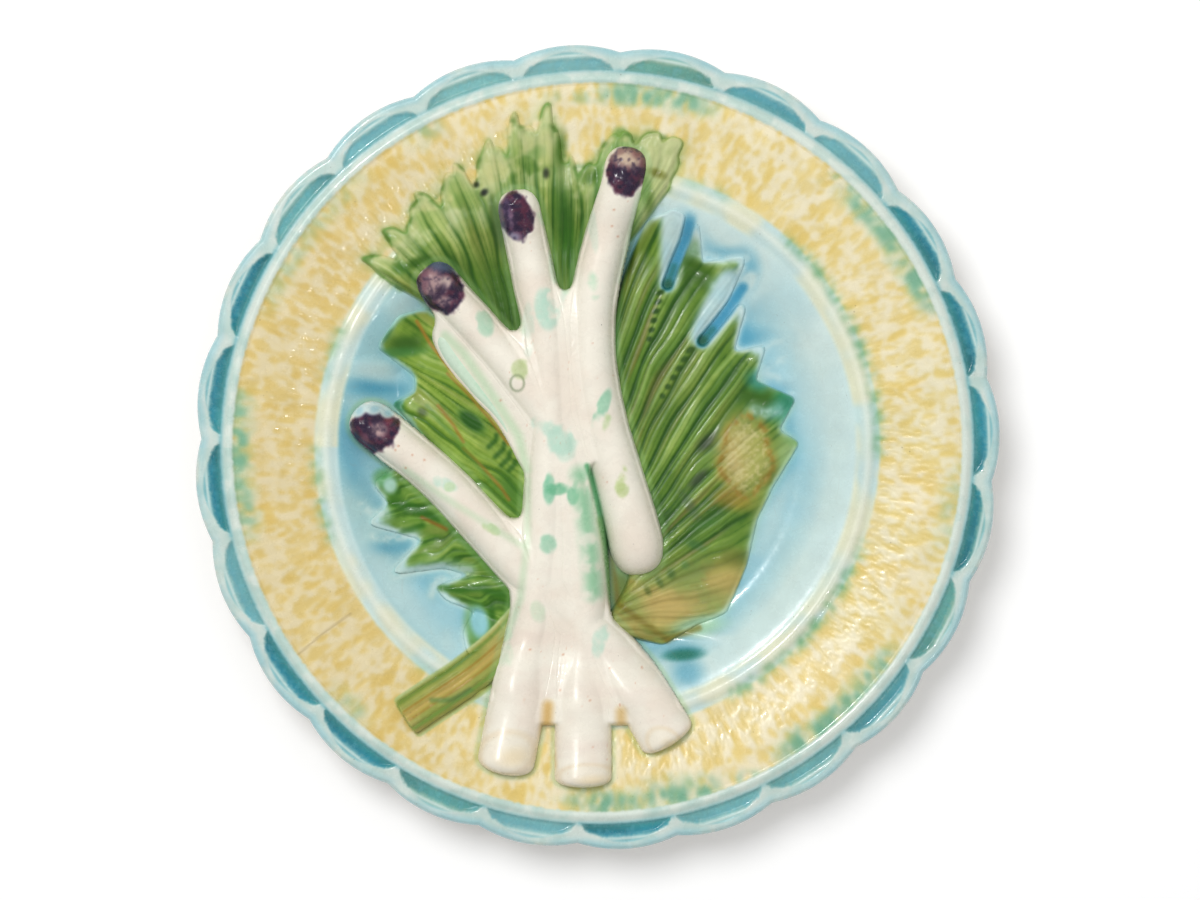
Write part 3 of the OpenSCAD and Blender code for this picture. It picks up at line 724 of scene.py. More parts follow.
RIGHT_SPOTS = [
    (627, 255, 7, 22, -12, LEAF_BLACK, .95), (618, 300, 5, 50, -6, (36, 84, 16), .85),
    (614, 345, 4, 30, -2, (48, 112, 40), .7), (646, 195, 5, 26, 10, (84, 112, 40), .6),
    (690, 262, 10, 20, -10, LEAF_DARK, .8), (706, 276, 10, 12, 0, LEAF_DARK, .75),
    (765, 400, 12, 14, -30, (34, 84, 10), .75), (752, 396, 10, 8, 0, LEAF_DARK, .7),
    (786, 408, 16, 12, 25, (40, 140, 106), .8), (800, 440, 14, 6, 0, (112, 164, 80), .7),
    (760, 380, 12, 10, -20, (44, 140, 130), .7), (790, 395, 13, 12, 0, (40, 136, 104), .7),
    (708, 442, 12, 6, 42, (40, 56, 34), .75), (699, 479, 12, 4, 44, (50, 66, 46), .8),
    (690, 505, 5, 16, 30, (66, 92, 70), .5), (655, 512, 9, 20, 20, (40, 84, 14), .7),
    (705, 525, 16, 4, 15, (66, 118, 40), .7), (696, 546, 10, 4, -20, (62, 112, 50), .7),
    (650, 560, 6, 14, 15, (110, 130, 56), .6), (736, 560, 14, 10, 0, (104, 112, 36), .6),
    (730, 585, 20, 18, 20, (196, 172, 96), .6), (668, 610, 26, 16, 0, (208, 180, 108), .7),
    (672, 575, 4, 5, 20, (70, 104, 40), .8), (660, 583, 3, 6, 30, (84, 110, 44), .8),
    (648, 592, 3, 5, 30, (96, 110, 44), .8), (686, 566, 4, 4, 0, (84, 128, 60), .7),
    (775, 560, 8, 40, 8, (178, 214, 160), .75), (792, 470, 12, 30, 12, (176, 210, 150), .6),
    (742, 455, 22, 34, 4, (206, 184, 118), .95), (757, 452, 16, 24, 10, (172, 174, 88), .75),
    (735, 500, 20, 10, -10, (176, 134, 40), .6), (760, 500, 10, 30, 10, (150, 160, 70), .5)]
# Pools of glaze past the leaf's foot, and whether each stays on the leaf
FOOT_POOLS = [(False, (700, 628, 24, 9, 8, (176, 216, 180), .9)),
              (True, (706, 640, 20, 7, 8, (112, 178, 120), .8)),
              (False, (684, 657, 17, 5, 5, (36, 120, 100), .9))]
# The blue floors of the two slots, and the lower end of each
SLOT_FLOORS = [([(668, 284), (675, 264), (686, 238), (694, 206)], (669, 282)),
               ([(703, 341), (714, 328), (730, 308), (744, 286)], (704, 339))]
RIGHT_CURLS = [
    [(695, 249), (726, 257), (749, 256), (738, 275), (716, 284)], [(758, 350), (772, 343), (790, 337)],
    [(788, 357), (770, 366), (766, 370), (772, 374), (780, 377)], [(756, 409), (767, 413), (780, 410)]]
AMBER_PATCH, AMBER_MIDDLE = (748, 457, 25, 39), (748, 457, 23, 36, 0)
# Rows of dark dots: place and half length of the first, what the next adds, half width, turn,
# colour and strength
DOT_ROWS = [((661, 291, 4.6), (-2.2, 9.4, -.3), 2.6, 25, (38, 76, 14), .95),
            ((691, 349, 4.8), (-5.6, 9.3, -.4), 2.8, 35, (40, 78, 14), .9)]
DOTS = 6
FOOT_LINES = [[(611, 480), (612, 560), (618, 605), (668, 642)], [(668, 642), (700, 630)]]


def paint_right_leaf(on):
    f, cover, ragged = leaf_start("leaf_right", (.3, .35), 35, .3)
    edge_zone = ease((GX - 22 + 12 * ease((GY - 15) / 15)) / 8) * ease((GY + 62) / 10)
    paint(on, cover * edge_zone, blend(ease((GY - 8) / 20), (160, 200, 160), (176, 214, 220)), .9)
    green = cover * (1 - edge_zone * (1 - ease((ragged - .36) / .3)))
    paint(on, green, leaf_colour(f, (146, 172, 72), (96, 134, 34), (38, 86, 6)))
    groove = np.clip(1 - f["rib"], 0, 1) ** 1.4
    upper = ease((GY + 25) / 40)
    paint(on, cover * groove * ease((.98 - f["out"]) / .2), (38, 86, 10), .8)
    paint(on, cover * ease((f["rib"] - .82) / .15) * upper, (156, 188, 118), .35)
    brown = ease(3 * noise(f["along"] * 40, f["out"] * 2.2, 33, 2) - 1.6)
    paint(on, cover * brown * ease((.92 - f["out"]) / .4), (112, 98, 34), .6)
    low = ease((-GY - 26) / 14)
    paint(on, cover * low, blend(ease(2.4 * CLOUD - .7), (196, 176, 104), (152, 166, 86)), .85)
    paint(on, cover * low * ease(2.5 * FINE - 1.2), BROWN, .2)
    paint(on, cover * low * groove, (108, 112, 44), .5)
    north = ease((GY - 20) / 8)
    paint(on, edge_of(f, .5, .26, True) * edge_zone * north, (206, 230, 228), .85)
    paint(on, (1 - ease((f["wide"] - .25) / .25)) * cover * edge_zone * north, (120, 188, 206), .7)
    paint(on, edge_of(f, .5, .3, True) * edge_zone * (1 - north) * ease(3 * CLOUD - .8), (176, 214, 196), .85)
    inner = ease((GY - 24) / 4) * ease((75 - GR) / 4)
    paint(on, ease((WEDGE_SOFT - .2) / .65) * inner * cover,
          blend(ease(2 * CLOUD - .5), (176, 214, 224), (204, 228, 228)), .95)
    paint(on, np.clip(blur(CHANNEL, 1.2) * 2, 0, 1) * ease((72 - GR) / 5), (214, 233, 228), .85)
    for route, bottom in SLOT_FLOORS:
        paint(on, stroke(route, 5.4, .7) * ease((74 - GR) / 5), (58, 148, 184), .95)
        paint(on, stroke(route[:2], 3.4, 1), (30, 118, 116), .85)
        paint(on, spot(*bottom, 5, 5, 0, .7), (20, 92, 62), .8)
    paint_spots(on, RIGHT_SPOTS, cover)
    for on_leaf, foot_pool in FOOT_POOLS:
        paint_spots(on, [foot_pool], cover if on_leaf else 1.0)
    paint_curls(on, RIGHT_CURLS, (7, (176, 216, 222), .45), (3.6, (206, 230, 228), .5))
    ring = ring_round(*AMBER_PATCH, 3, 41)
    rough = ease(3.2 * patches(1.7, 59, 2) - .9)
    paint(on, stroke(ring, 5, 1) * rough, (176, 148, 58), .5)
    paint(on, stroke(ring, 2.2, 1) * (.3 + .7 * rough), (146, 110, 30), .6)
    paint(on, spot(*AMBER_MIDDLE, .3) * ease(3.4 * patches(.8, 60, 2) - 1.5), (204, 196, 134), .7)
    for first, step, half_width, turn, colour, strength in DOT_ROWS:
        for k in range(DOTS):
            x, y, half_length = (a + b * k for a, b in zip(first, step))
            paint(on, spot(x, y, half_length, half_width, turn, .5), colour, strength)
    for route in FOOT_LINES:
        paint(on, stroke(route, 3, .9), (128, 112, 36), .65)


LEFT_SPOTS = [
    (404, 343, 18, 9, 0, LEAF_DARK, .9), (380, 330, 10, 9, 30, (34, 100, 52), .85),
    (392, 352, 30, 5, 5, (52, 122, 60), .6), (392, 408, 8, 14, 0, (30, 110, 70), .85),
    (470, 421, 15, 7.5, -40, (34, 92, 18), .95), (420, 412, 5, 5, 0, (66, 92, 24), .9),
    (512, 495, 10, 24, 22, (56, 112, 24), .7), (380, 320, 20, 8, 20, (150, 200, 150), .6)]
LEFT_BLADE = [(497, 452, 20, 11, -42, (128, 160, 60), .8)]
LEFT_EYE = [(470, 421, 17, 9.5, -38, (150, 178, 84), .7), (470, 421, 14.5, 7, -38, (34, 88, 14), .95)]
LEFT_TICKS = [(490, 441, 6), (497, 450, 7), (503, 459, 6.5), (510, 466, 4.5)]  # place and size
LEFT_VEIN = [(415, 320), (428, 342), (450, 370), (470, 390), (492, 415), (512, 442)]
VEIN_APART = 4.4
LEFT_LINES = [
    ([(436, 405), (452, 425), (462, 442)], 1.5, .9, (156, 112, 30), .8),
    ([(462, 448), (480, 466), (500, 488), (508, 500)], 1.5, .9, (156, 112, 30), .8),
    ([(425, 405), (460, 445), (500, 495)], 2.2, .9, (76, 130, 40), .5),
    ([(500, 400), (515, 430), (523, 470)], 2.2, .9, (76, 130, 40), .5)]


def paint_left_leaf(on):
    f, cover, ragged = leaf_start("leaf_left", (.3, .3), 36, .35)
    outside = ease((-GX - 40) / 8)
    paint(on, cover * outside, (150, 200, 200), .9)
    green = cover * (1 - outside * (1 - ease((ragged - .4) / .3)))
    paint(on, green, leaf_colour(f, (166, 186, 86), (130, 162, 56), (66, 112, 14)))
    paint(on, edge_of(f, .5, .18, True) * outside, (176, 214, 200), .7)
    paint(on, (1 - ease((f["soft"] - .4) / .3)) * cover * outside, (120, 186, 190), .6)
    paint_spots(on, LEFT_SPOTS, cover)
    paint_spots(on, LEFT_BLADE, cover, .5)
    paint_spots(on, LEFT_EYE, cover, .35)
    for x, y, n in LEFT_TICKS:
        tick = stroke([(x + n * .9, y - n), (x + n * .8, y - 1), (x - n * .4, y + n)], 2.4, .9)
        paint(on, tick, (48, 98, 18), .85)
    paint(on, stroke(LEFT_VEIN, 1.6, .9), (168, 120, 30), .9)
    paint(on, stroke(LEFT_VEIN[2:], 3.4, .9), (206, 182, 110), .75)
    for dx in (-VEIN_APART, VEIN_APART):
        paint(on, stroke([(x + dx, y - dx * .6) for x, y in LEFT_VEIN[2:]], 1.1, .9), (158, 112, 28), .8)
    paint_strokes(on, LEFT_LINES)


LOWER_STROKES = [
    ([(382, 488), (400, 505), (440, 520), (470, 548), (500, 580), (508, 604)], 4.5, 1, (50, 106, 18), .75),
    ([(365, 503), (386, 503), (410, 508), (436, 520)], 3.4, 1, (46, 104, 14), .9),
    ([(385, 545), (402, 533), (420, 526)], 3.2, 1, (46, 104, 14), .9),
    ([(434, 588), (455, 592), (480, 590), (500, 596)], 3.4, 1, (46, 104, 14), .9),
    ([(383, 478), (395, 492)], 2.6, 1, (46, 104, 14), .9),
    ([(490, 610), (492, 634), (484, 650)], 3.2, 1, (46, 104, 14), .9),
    ([(478, 662), (490, 648), (498, 630)], 2.4, 1, (138, 92, 20), .85),
    ([(420, 518), (445, 530)], 1.6, 1, (138, 92, 20), .85)]
LOWER_CURLS = [
    [(372, 537), (388, 540), (412, 537)], [(392, 577), (414, 572), (446, 567), (468, 572)],
    [(430, 596), (433, 584), (448, 576)], [(360, 506), (370, 514), (384, 516)]]
LOWER_POOLS = [(476, 626, 13, 20, 12, (112, 168, 106), .85), (478, 624, 9, 15, 12, (150, 208, 218), .95)]
LOWER_EYE = [(382, 478, 11, 9, 0, (92, 160, 96), .8), (388, 486, 7, 8, 0, (190, 226, 222), .8)]


def paint_lower_leaf(on):
    f, cover, ragged = leaf_start("leaf_lower", (.34, .3), 37, .3)
    outer = ease((f["out"] - .45) / .3)
    paint(on, cover, (176, 216, 216), .95)
    green = cover * (1 - outer * (1 - ease((ragged - .5) / .3)))
    paint(on, green, leaf_colour(f, (146, 176, 82), (94, 138, 40), (46, 96, 8)))
    paint(on, edge_of(f, .5, .27, True) * outer, (206, 230, 224), .85)
    paint(on, (1 - ease((f["soft"] - .4) / .3)) * cover * outer, (150, 206, 214), .8)
    paint_strokes(on, LOWER_STROKES, cover)
    paint_curls(on, LOWER_CURLS, (6.5, (176, 214, 212), .5), (3.4, (210, 230, 224), .6))
    paint_spots(on, LOWER_POOLS, soft=.4)
    paint_spots(on, LOWER_EYE, soft=.5)


STALK_FORM = (10.4, 10.4, .3, .3)  # widths in mm at its ends, and half widths of length that each end takes
STALK_SHADE = [(432, 700), (452, 700), (470, 690)]
# Lines along the stalk: place across from -1 to 1, width, colour and strength
STALK_LINES = [(.1, .2, (204, 172, 92), .8), (-.12, .06, (160, 112, 34), .6), (.32, .06, (160, 112, 34), .6),
               (-.55, .1, (92, 132, 44), .7), (.75, .1, (92, 132, 44), .7)]


def paint_stalk(on):
    covered, along, across = strip(STALK, *STALK_FORM, 1.2)
    on_stalk = ease((blur(covered.astype(float), .45) - .3) / .4)
    across = blur(across * covered, .4) / (blur(covered.astype(float), .4) + 1e-6)
    paint(on, on_stalk, blend(ease(2.2 * CLOUD - .6), (150, 162, 74), (182, 172, 96)))
    for at, width, colour, strength in STALK_LINES:
        paint(on, on_stalk * np.exp(-((across - at) / width) ** 2), colour, strength)
    paint(on, on_stalk * ease((np.abs(across) - .85) / .15), (190, 214, 160), .8)
    paint(on, on_stalk * (1 - ease(along / .06)) * covered, (168, 186, 100), .6)
    paint(on, stroke(STALK_SHADE, 2.4, .9), (84, 128, 66), .6)


GLAZE = np.zeros((CELLS, CELLS, 3))
for paint_on in (paint_well, paint_rim, paint_crown, paint_right_leaf, paint_left_leaf, paint_lower_leaf,
                 paint_stalk):
    paint_on(GLAZE)
under_spears = np.max([blur((top > -30).astype(float), .9) for top in SPEAR_Z.values()], 0)
paint(GLAZE, ease((under_spears - .12) / .5) * (GR < 100), (150, 190, 130), .35)

# The leaf scales on the spears' stalks: place, half width, half length, turn, colour and strength
BRACTS = [
    (484, 323, 7, 11, 20, MINT, .55), (547, 308, 10, 17, 6, PALE_MINT, .9),
    (521, 369, 8, 8, 0, (176, 196, 128), .7), (545, 427, 12, 7, -28, PALE_MINT, .7),
    (562, 440, 12, 12, -30, PALE_MINT, .85), (444, 484, 11, 5, -25, PALE_MINT, .7),
    (449, 487, 5, 4, 0, (190, 214, 150), .5), (491, 529, 8, 4, -30, (180, 206, 140), .7),
    (549, 489, 5, 12, 0, MINT, .95), (557, 489, 10, 5, 0, (106, 184, 140), .8),
    (573, 494, 5, 9, 0, (106, 184, 140), .8), (548, 544, 7, 8, 20, MINT, .7),
    (538, 612, 6, 9, 15, (200, 220, 190), .6), (593, 281, 7, 14, 6, (172, 212, 178), .75),
    (563, 295, 5, 10, 0, PALE_MINT, .5), (602, 408, 5, 16, -22, MINT, .8),
    (606, 424, 5, 8, -10, (170, 200, 130), .7), (563, 452, 10, 8, 0, PALE_MINT, .5),
    (621, 480, 5, 11, -12, (190, 208, 138), .8), (623, 489, 5, 7, -10, (182, 200, 130), .7),
    (601, 640, 7, 14, -15, PALE_MINT, .7), (528, 330, 5, 22, 0, PALE_MINT, .35),
    (556, 260, 6, 20, 0, (196, 222, 196), .6), (592, 225, 4, 22, 8, (206, 226, 206), .5),
    (640, 590, 12, 5, -40, (214, 226, 200), .4), (500, 640, 10, 22, 15, (204, 226, 196), .6)]
BUDS = {  # place, half width, half length and turn of the dark head of each spear
    "spear_left": (374, 430, 24, 22, 15), "spear_upper_left": (440, 287, 23, 26, 20),
    "spear_upper": (516, 216, 17, 24, 8), "spear_right": (627, 170, 20, 26, -20)}
HEAD_SPOTS = {
    "spear_left": [(378, 430, 8, 7, 0, (206, 176, 170), .85), (365, 438, 4, 5, 0, (120, 84, 100), .6),
                   (388, 421, 4, 4, 0, (128, 52, 78), .8)],
    "spear_upper_left": [(432, 284, 11, 14, 10, (196, 166, 160), .85),
                         (446, 282, 6, 6, 0, (212, 190, 180), .9),
                         (440, 292, 4, 9, -30, PLUM, .8), (425, 280, 4, 10, 0, (110, 70, 88), .6),
                         (444, 301, 7, 5, 0, (200, 172, 164), .7)],
    "spear_upper": [(507, 210, 4, 14, 10, (120, 110, 144), .5), (512, 237, 9, 5, 0, (170, 174, 196), .7),
                    (524, 208, 5, 14, 0, (92, 36, 60), .7), (512, 220, 3, 9, 0, (150, 126, 146), .5)],
    "spear_right": [(628, 158, 16, 10, -10, (206, 184, 158), .95), (637, 152, 6, 7, 0, (120, 76, 76), .8),
                    (644, 166, 4, 10, 0, (110, 66, 74), .7), (622, 152, 7, 3, 20, (130, 96, 92), .6)]}
UPPER_LEFT_EDGE, UPPER_EDGE = (441, 264, 17, 7, -12), (500, 215, 3.5, 22, 12)
WHITE_LOBES = [(358, 410, 9, 7, 35), (373, 408, 9, 7, 5), (386, 412, 7, 6, -20)]  # over the left spear's head
CUT_ENDS = [(507, 752, 28, 21, 8), (586, 775, 28, 12, 2), (664, 742, 18, 14, -30)]
CRAZE_RING = (517, 383, 7, 8)
RUST_DOTS = [
    (395, 450), (412, 455), (398, 446), (405, 468), (424, 460), (614, 210), (612, 226), (618, 236),
    (500, 400), (590, 700), (563, 655), (530, 650), (642, 668), (560, 690), (524, 700), (610, 668)]
FOLD_WASH = [([(580, 476), (584, 500), (588, 530), (592, 560), (594, 592)], 8, 1.1, (138, 198, 154), .85)]
SPEAR_STROKES = [
    ([(587, 466), (592, 480), (598, 505), (606, 545), (612, 600)], 2.6, .8, (84, 164, 108), .9),
    ([(600, 520), (607, 560), (613, 604)], 3.2, .8, (120, 168, 96), .6),
    ([(444, 335), (462, 352), (484, 384), (500, 408), (518, 436), (526, 470)], 4.5, 1, PALE_GREEN, .6),
    ([(527, 480), (527, 540), (520, 600), (505, 640)], 3.5, 1, PALE_GREEN, .45),
    ([(405, 470), (440, 495), (480, 520), (522, 546)], 3.2, 1, PALE_GREEN, .4),
    ([(628, 610), (650, 640), (680, 668)], 4.5, 1, PALE_GREEN, .55),
    ([(498, 245), (508, 290), (520, 322)], 3, 1, PALE_GREEN, .5),
    ([(540, 215), (560, 245), (566, 290)], 3, 1, PALE_GREEN, .45),
    ([(640, 195), (632, 230), (622, 280)], 3.5, 1, PALE_GREEN, .5),
    ([(470, 280), (500, 305), (522, 330)], 3, 1, PALE_GREEN, .35),
    ([(548, 706), (546, 735), (550, 765)], 5, 1, RUST_BROWN, .75),
    ([(621, 712), (622, 738), (626, 752)], 5, 1, RUST_BROWN, .6)]


def head_mask(name):
    """Where a spear's dark head lies, with a ragged edge."""
    ragged = 1 + .42 * (patches(2.4, 41, 3) - .5)
    return ease((1.1 - np.hypot(*oval(*BUDS[name])) * ragged) / .2)


def paint_spears(on):
    """Ivory glaze with a rosy body under it, mint scales, green where it meets the leaf, and plum heads."""
    on[:] = blend(ease(2.2 * CLOUD - .75), IVORY, ROSE)
    low = ease((-GY - 20) / 30)
    paint(on, low * ease(2.4 * noise(GX / 14, GY / 5, 43, 3) - 1.1), (229, 212, 198), .45)
    grains = patches(1.1, 44, 2)
    rough = ease(3 * noise(GX / 3.2, GY / 3.8, 66, 3) - .75)
    for *place, colour, strength in BRACTS:
        m = spot(*place, .75)
        m = ease((m + .8 * (rough - .5) * np.minimum(3 * m, 1) - .1) / .95)
        paint(on, m * (.75 + .4 * grains), colour, strength)
    paint_strokes(on, FOLD_WASH, .25 + .75 * rough)
    paint_strokes(on, SPEAR_STROKES)
    rust = ease((patches(.9, 45, 2) - .86) / .06) * ease((patches(12, 46, 2) - .5) / .2)
    paint(on, rust, (190, 104, 62), .4)
    for x, y in RUST_DOTS:
        paint(on, spot(x, y, 1.2, 1.0, 0, .6), (200, 132, 92), .6)
    for x, y, rx, ry, turn in CUT_ENDS:
        cut = spot(x, y, rx, ry, turn, .25)
        paint(on, cut, (240, 232, 212), .6)
        paint(on, np.clip(4 * cut * (1 - cut), 0, 1), (224, 200, 160), .35)
        paint(on, spot(x + 8, y + 4, rx * .5, ry * .4, turn, .8), (234, 214, 172), .6)
    paint(on, stroke(ring_round(*CRAZE_RING, 0, 15), 1.1, .9), (122, 138, 100), .6)
    grain = patches(1.3, 47, 3)
    for name in BUDS:
        head = head_mask(name)
        paint(on, head, blend(ease(2.8 * grain - 1.0), PLUM, PLUM_RED))
        paint(on, head * ease(3 * patches(1.0, 48, 2) - 2.0), (140, 110, 130), .45)
    broken = ease(3.4 * grain - .9)
    for name, spots in HEAD_SPOTS.items():
        head = head_mask(name)
        for *place, colour, strength in spots:
            paint(on, spot(*place, .6) * head * (.35 + .65 * broken), colour, strength)
    paint(on, spot(*UPPER_LEFT_EDGE, .6), (84, 104, 128), .8)
    for x, y, rx, ry, turn in WHITE_LOBES:
        paint(on, spot(x, y, rx, ry, turn, .3), (208, 228, 226), .9)
        paint(on, spot(x + 1, y + 1, rx * .45, ry * .45, turn, .6), (150, 196, 210), .6)
    paint(on, spot(*UPPER_EDGE, .7), (150, 170, 170), .5)


SPEAR_GLAZE = np.zeros((CELLS, CELLS, 3))
paint_spears(SPEAR_GLAZE)

# Materials
SPECK_BROWN, CRAZE_BROWN = (.09, .05, .03, 1), (.30, .22, .13, 1)
GREY_FLOOR, WHITE = (.86, .86, .86, 1), (1, 1, 1, 1)


def empty_material(name):
    """A new material and its node tree, with no node in it."""
    mat = bpy.data.materials.new(name)
    mat.use_nodes = True
    mat.node_tree.nodes.clear()
    return mat, mat.node_tree


def feed(tree, socket, value):
    """Links a socket to another node's output, or sets its value."""
    if isinstance(value, bpy.types.NodeSocket):
        tree.links.new(value, socket)
    else:
        socket.default_value = value


def node(tree, kind, **inputs):
    """A new node; an input's name has _ for each of its spaces."""
    made = tree.nodes.new("ShaderNode" + kind)
    for key, value in inputs.items():
        feed(tree, made.inputs[key.replace("_", " ")], value)
    return made


def mixed(tree, kind, factor, a, b):
    """Two colours mixed."""
    made = node(tree, "Mix")
    made.data_type = "RGBA"
    made.blend_type = kind
    sockets = {socket.identifier: socket for socket in made.inputs}
    for key, value in (("Factor_Float", factor), ("A_Color", a), ("B_Color", b)):
        feed(tree, sockets[key], value)
    return next(socket for socket in made.outputs if socket.identifier == "Result_Color")


def ramp(tree, factor, first, last):
    """A grey that runs from one place and value to another."""
    made = node(tree, "ValToRGB", Fac=factor)
    for element, (at, value) in zip(made.color_ramp.elements, (first, last)):
        element.position = at
        element.color = (value, value, value, 1)
    return made.outputs["Color"]


def maths(tree, operation, a, b):
    made = node(tree, "Math")
    made.operation = operation
    feed(tree, made.inputs[0], a)
    feed(tree, made.inputs[1], b)
    return made.outputs[0]


def new_material(name, coat, rough, specular, speck, mottle, craze):
    """A gloss majolica glaze over its painted colour, with mottling, dark specks, crazing and a wavy skin."""
    mat, tree = empty_material(name)
    where = node(tree, "TexCoord").outputs["Object"]
    painted = node(tree, "Attribute")
    painted.attribute_name = "glaze"
    clouds = node(tree, "TexNoise", Vector=where, Scale=140.0, Detail=5.0, Roughness=.6).outputs["Fac"]
    shades = ramp(tree, clouds, (.3, 1 - mottle), (.7, 1.0))
    colour = mixed(tree, "MULTIPLY", 1.0, painted.outputs["Color"], shades)
    specks = node(tree, "TexVoronoi", Vector=where, Scale=420.0).outputs["Distance"]
    sparse = node(tree, "TexNoise", Vector=where, Scale=95.0, Detail=3.0).outputs["Fac"]
    masked = mixed(tree, "MULTIPLY", 1.0, ramp(tree, specks, (.055, 1.0), (.10, 0.0)),
                   ramp(tree, sparse, (.58, 0.0), (.66, speck)))
    colour = mixed(tree, "MIX", masked, colour, SPECK_BROWN)
    cracks = node(tree, "TexVoronoi", Vector=where, Scale=210.0, Randomness=1.0)
    cracks.feature = "DISTANCE_TO_EDGE"
    cracked = ramp(tree, cracks.outputs["Distance"], (.0, craze), (.012, 0.0))
    colour = mixed(tree, "MIX", cracked, colour, CRAZE_BROWN)
    wear = node(tree, "TexNoise", Vector=where, Scale=260.0, Detail=4.0, Roughness=.65).outputs["Fac"]
    skin = node(tree, "TexNoise", Vector=where, Scale=330.0, Detail=3.0, Roughness=.5).outputs["Fac"]
    waves = node(tree, "Bump", Strength=.22, Distance=.00035, Height=skin)
    fine_waves = node(tree, "Bump", Strength=.10, Distance=.0005, Height=clouds)
    shader = node(tree, "BsdfPrincipled", Base_Color=colour, IOR=1.5, Specular_IOR_Level=specular,
                  Roughness=ramp(tree, wear, (.35, rough), (.75, rough + .16)),
                  Normal=waves.outputs["Normal"], Coat_Weight=coat, Coat_Roughness=.04,
                  Coat_Normal=fine_waves.outputs["Normal"])
    node(tree, "OutputMaterial", Surface=shader.outputs["BSDF"])
    return mat


# Coat, roughness, specular level, strength of the specks, mottling and crazing of each glaze
MATERIALS = {name: new_material(name, *look) for name, look in {
    "body_glaze": (.3, .2, .5, .45, .10, .10),
    "leaf_glaze": (.1, .3, .35, .7, .16, .05),
    "stalk_glaze": (.05, .3, .35, .5, .16, .05),
    "shoot_glaze": (.08, .22, .4, .5, .08, .04),
    "spear_glaze": (.16, .22, .4, .55, .06, .07)}.items()}

# Meshes, in mm
FOOT_CREAM, CLAY = (226, 220, 192), (206, 178, 142)
STILT_R, STILT_W = 52, 1.4  # three marks left by the kiln's stilts
STILT_TURNS = (.4, .4 + 2 * np.pi / 3, .4 + 4 * np.pi / 3)
EDGE_GAP, EDGE_DROP = .15, .9  # how far the border's last row stays inside the outline, and how far it drops
UNDER_GAP, THINNEST = .06, .8  # how far the underside lies over the CAD's, and the thinnest wall
SHEET_T, SHEET_SINK = .4, 1.4  # least thickness of a sheet, and how deep its underside lies in the body
LEAF_STEP, WEB_STEP = .36, .4  # pitch of the meshes
# Coverage from which the leaf is there, the same at a wider blur and for hooked lobes, and the web's
LEAF_FROM, SLIVER, HOOK_SLIVER, WEB_FROM = .12, .2, .36, .52
# How far the leaf stays below a spear, and how far below it the leaf's and the web's cells are left out
UNDER_SPEAR, LEAF_HIDDEN, WEB_HIDDEN = 2.5, 5, 6
SHOOT_H, STALK_H = 5.6, 4.0
SPEAR_MESH, SHOOT_MESH, STALK_MESH = (380, 72), (150, 40), (130, 48)  # rows and columns
# The rings of the body: first and last radius in mm, rows, columns and rows of the underside
RINGS = {"body_well": (.02, 58, 110, 720, 26), "body_lip": (58, 82, 62, 1080, 26),
         "body_rim": (82, 103.4, 54, 1400, 13), "body_border": (103.4, 115.5, 38, 1920, 13)}
# Widths in mm at the tip and the foot, and half widths of length that each end takes
SHOOT_FORM = (9.2, 3.8, 2, .5)
SHOOT_SPOTS = [(448, 352, 10, 16, 30, (206, 226, 206), .7)]


def linear(srgb):
    c = np.clip(np.asarray(srgb, float) / 255, 0, 1)
    return np.where(c <= .04045, c / 12.92, ((c + .055) / 1.055) ** 2.4)


def piece(name, verts, faces, colours, slot, replaced, sharp=None):
    """A closed piece of four-sided faces with its painted colour, riding on root in place of a CAD node."""
    mesh = bpy.data.meshes.new(name)
    mesh.vertices.add(len(verts))
    mesh.vertices.foreach_set("co", (verts * MM).astype(np.float32).ravel())
    mesh.loops.add(faces.size)
    mesh.loops.foreach_set("vertex_index", faces.astype(np.int32).ravel())
    mesh.polygons.add(len(faces))
    mesh.polygons.foreach_set("loop_start", np.arange(0, faces.size, 4, dtype=np.int32))
    mesh.update(calc_edges=True)
    mesh.validate()
    mesh.polygons.foreach_set("use_smooth", np.ones(len(mesh.polygons), bool))
    rgba = np.ones((len(verts), 4), np.float32)
    rgba[:, :3] = linear(colours)
    mesh.attributes.new("glaze", "FLOAT_COLOR", "POINT").data.foreach_set("color", rgba.ravel())
    if sharp is not None:
        mesh.set_sharp_from_angle(angle=sharp)
    obj = bpy.data.objects.new(name, mesh)
    bpy.context.scene.collection.objects.link(obj)
    obj.data.materials.append(MATERIALS[slot])
    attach(obj, "root")
    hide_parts(replaced)


def grid_faces(rows, cols, closed=False):
    """Quads over rows of points; closed joins each row's ends."""
    i, j = np.meshgrid(np.arange(rows - 1), np.arange(cols if closed else cols - 1), indexing="ij")
    a, b = i * cols + j, i * cols + (j + 1) % cols
    return np.stack([a, b, b + cols, a + cols], -1).reshape(-1, 4)


def under_z(r):
    """Height of the body's underside in mm, with its foot ring."""
    z = np.maximum(FOOT_H, drape_z(r) - WALL)
    ring = np.clip(np.minimum(FOOT_R - r, r - (FOOT_R - FOOT_W)) / (FOOT_H / 4) + .5, 0, 1.5)
    outer = np.clip((FOOT_R + WALL - r) / WALL, 0, 1) * (r > FOOT_R)
    hollow = FOOT_H / 2 + (drape_z(r) - WALL - FOOT_H / 2) * (1 - outer) ** .8
    z = np.where((r > FOOT_R) & (r < FOOT_R + WALL), hollow, z)
    return np.where((r > FOOT_R - FOOT_W) & (r <= FOOT_R), FOOT_H / 2 - FOOT_H / 2 * np.clip(ring, 0, 1), z)


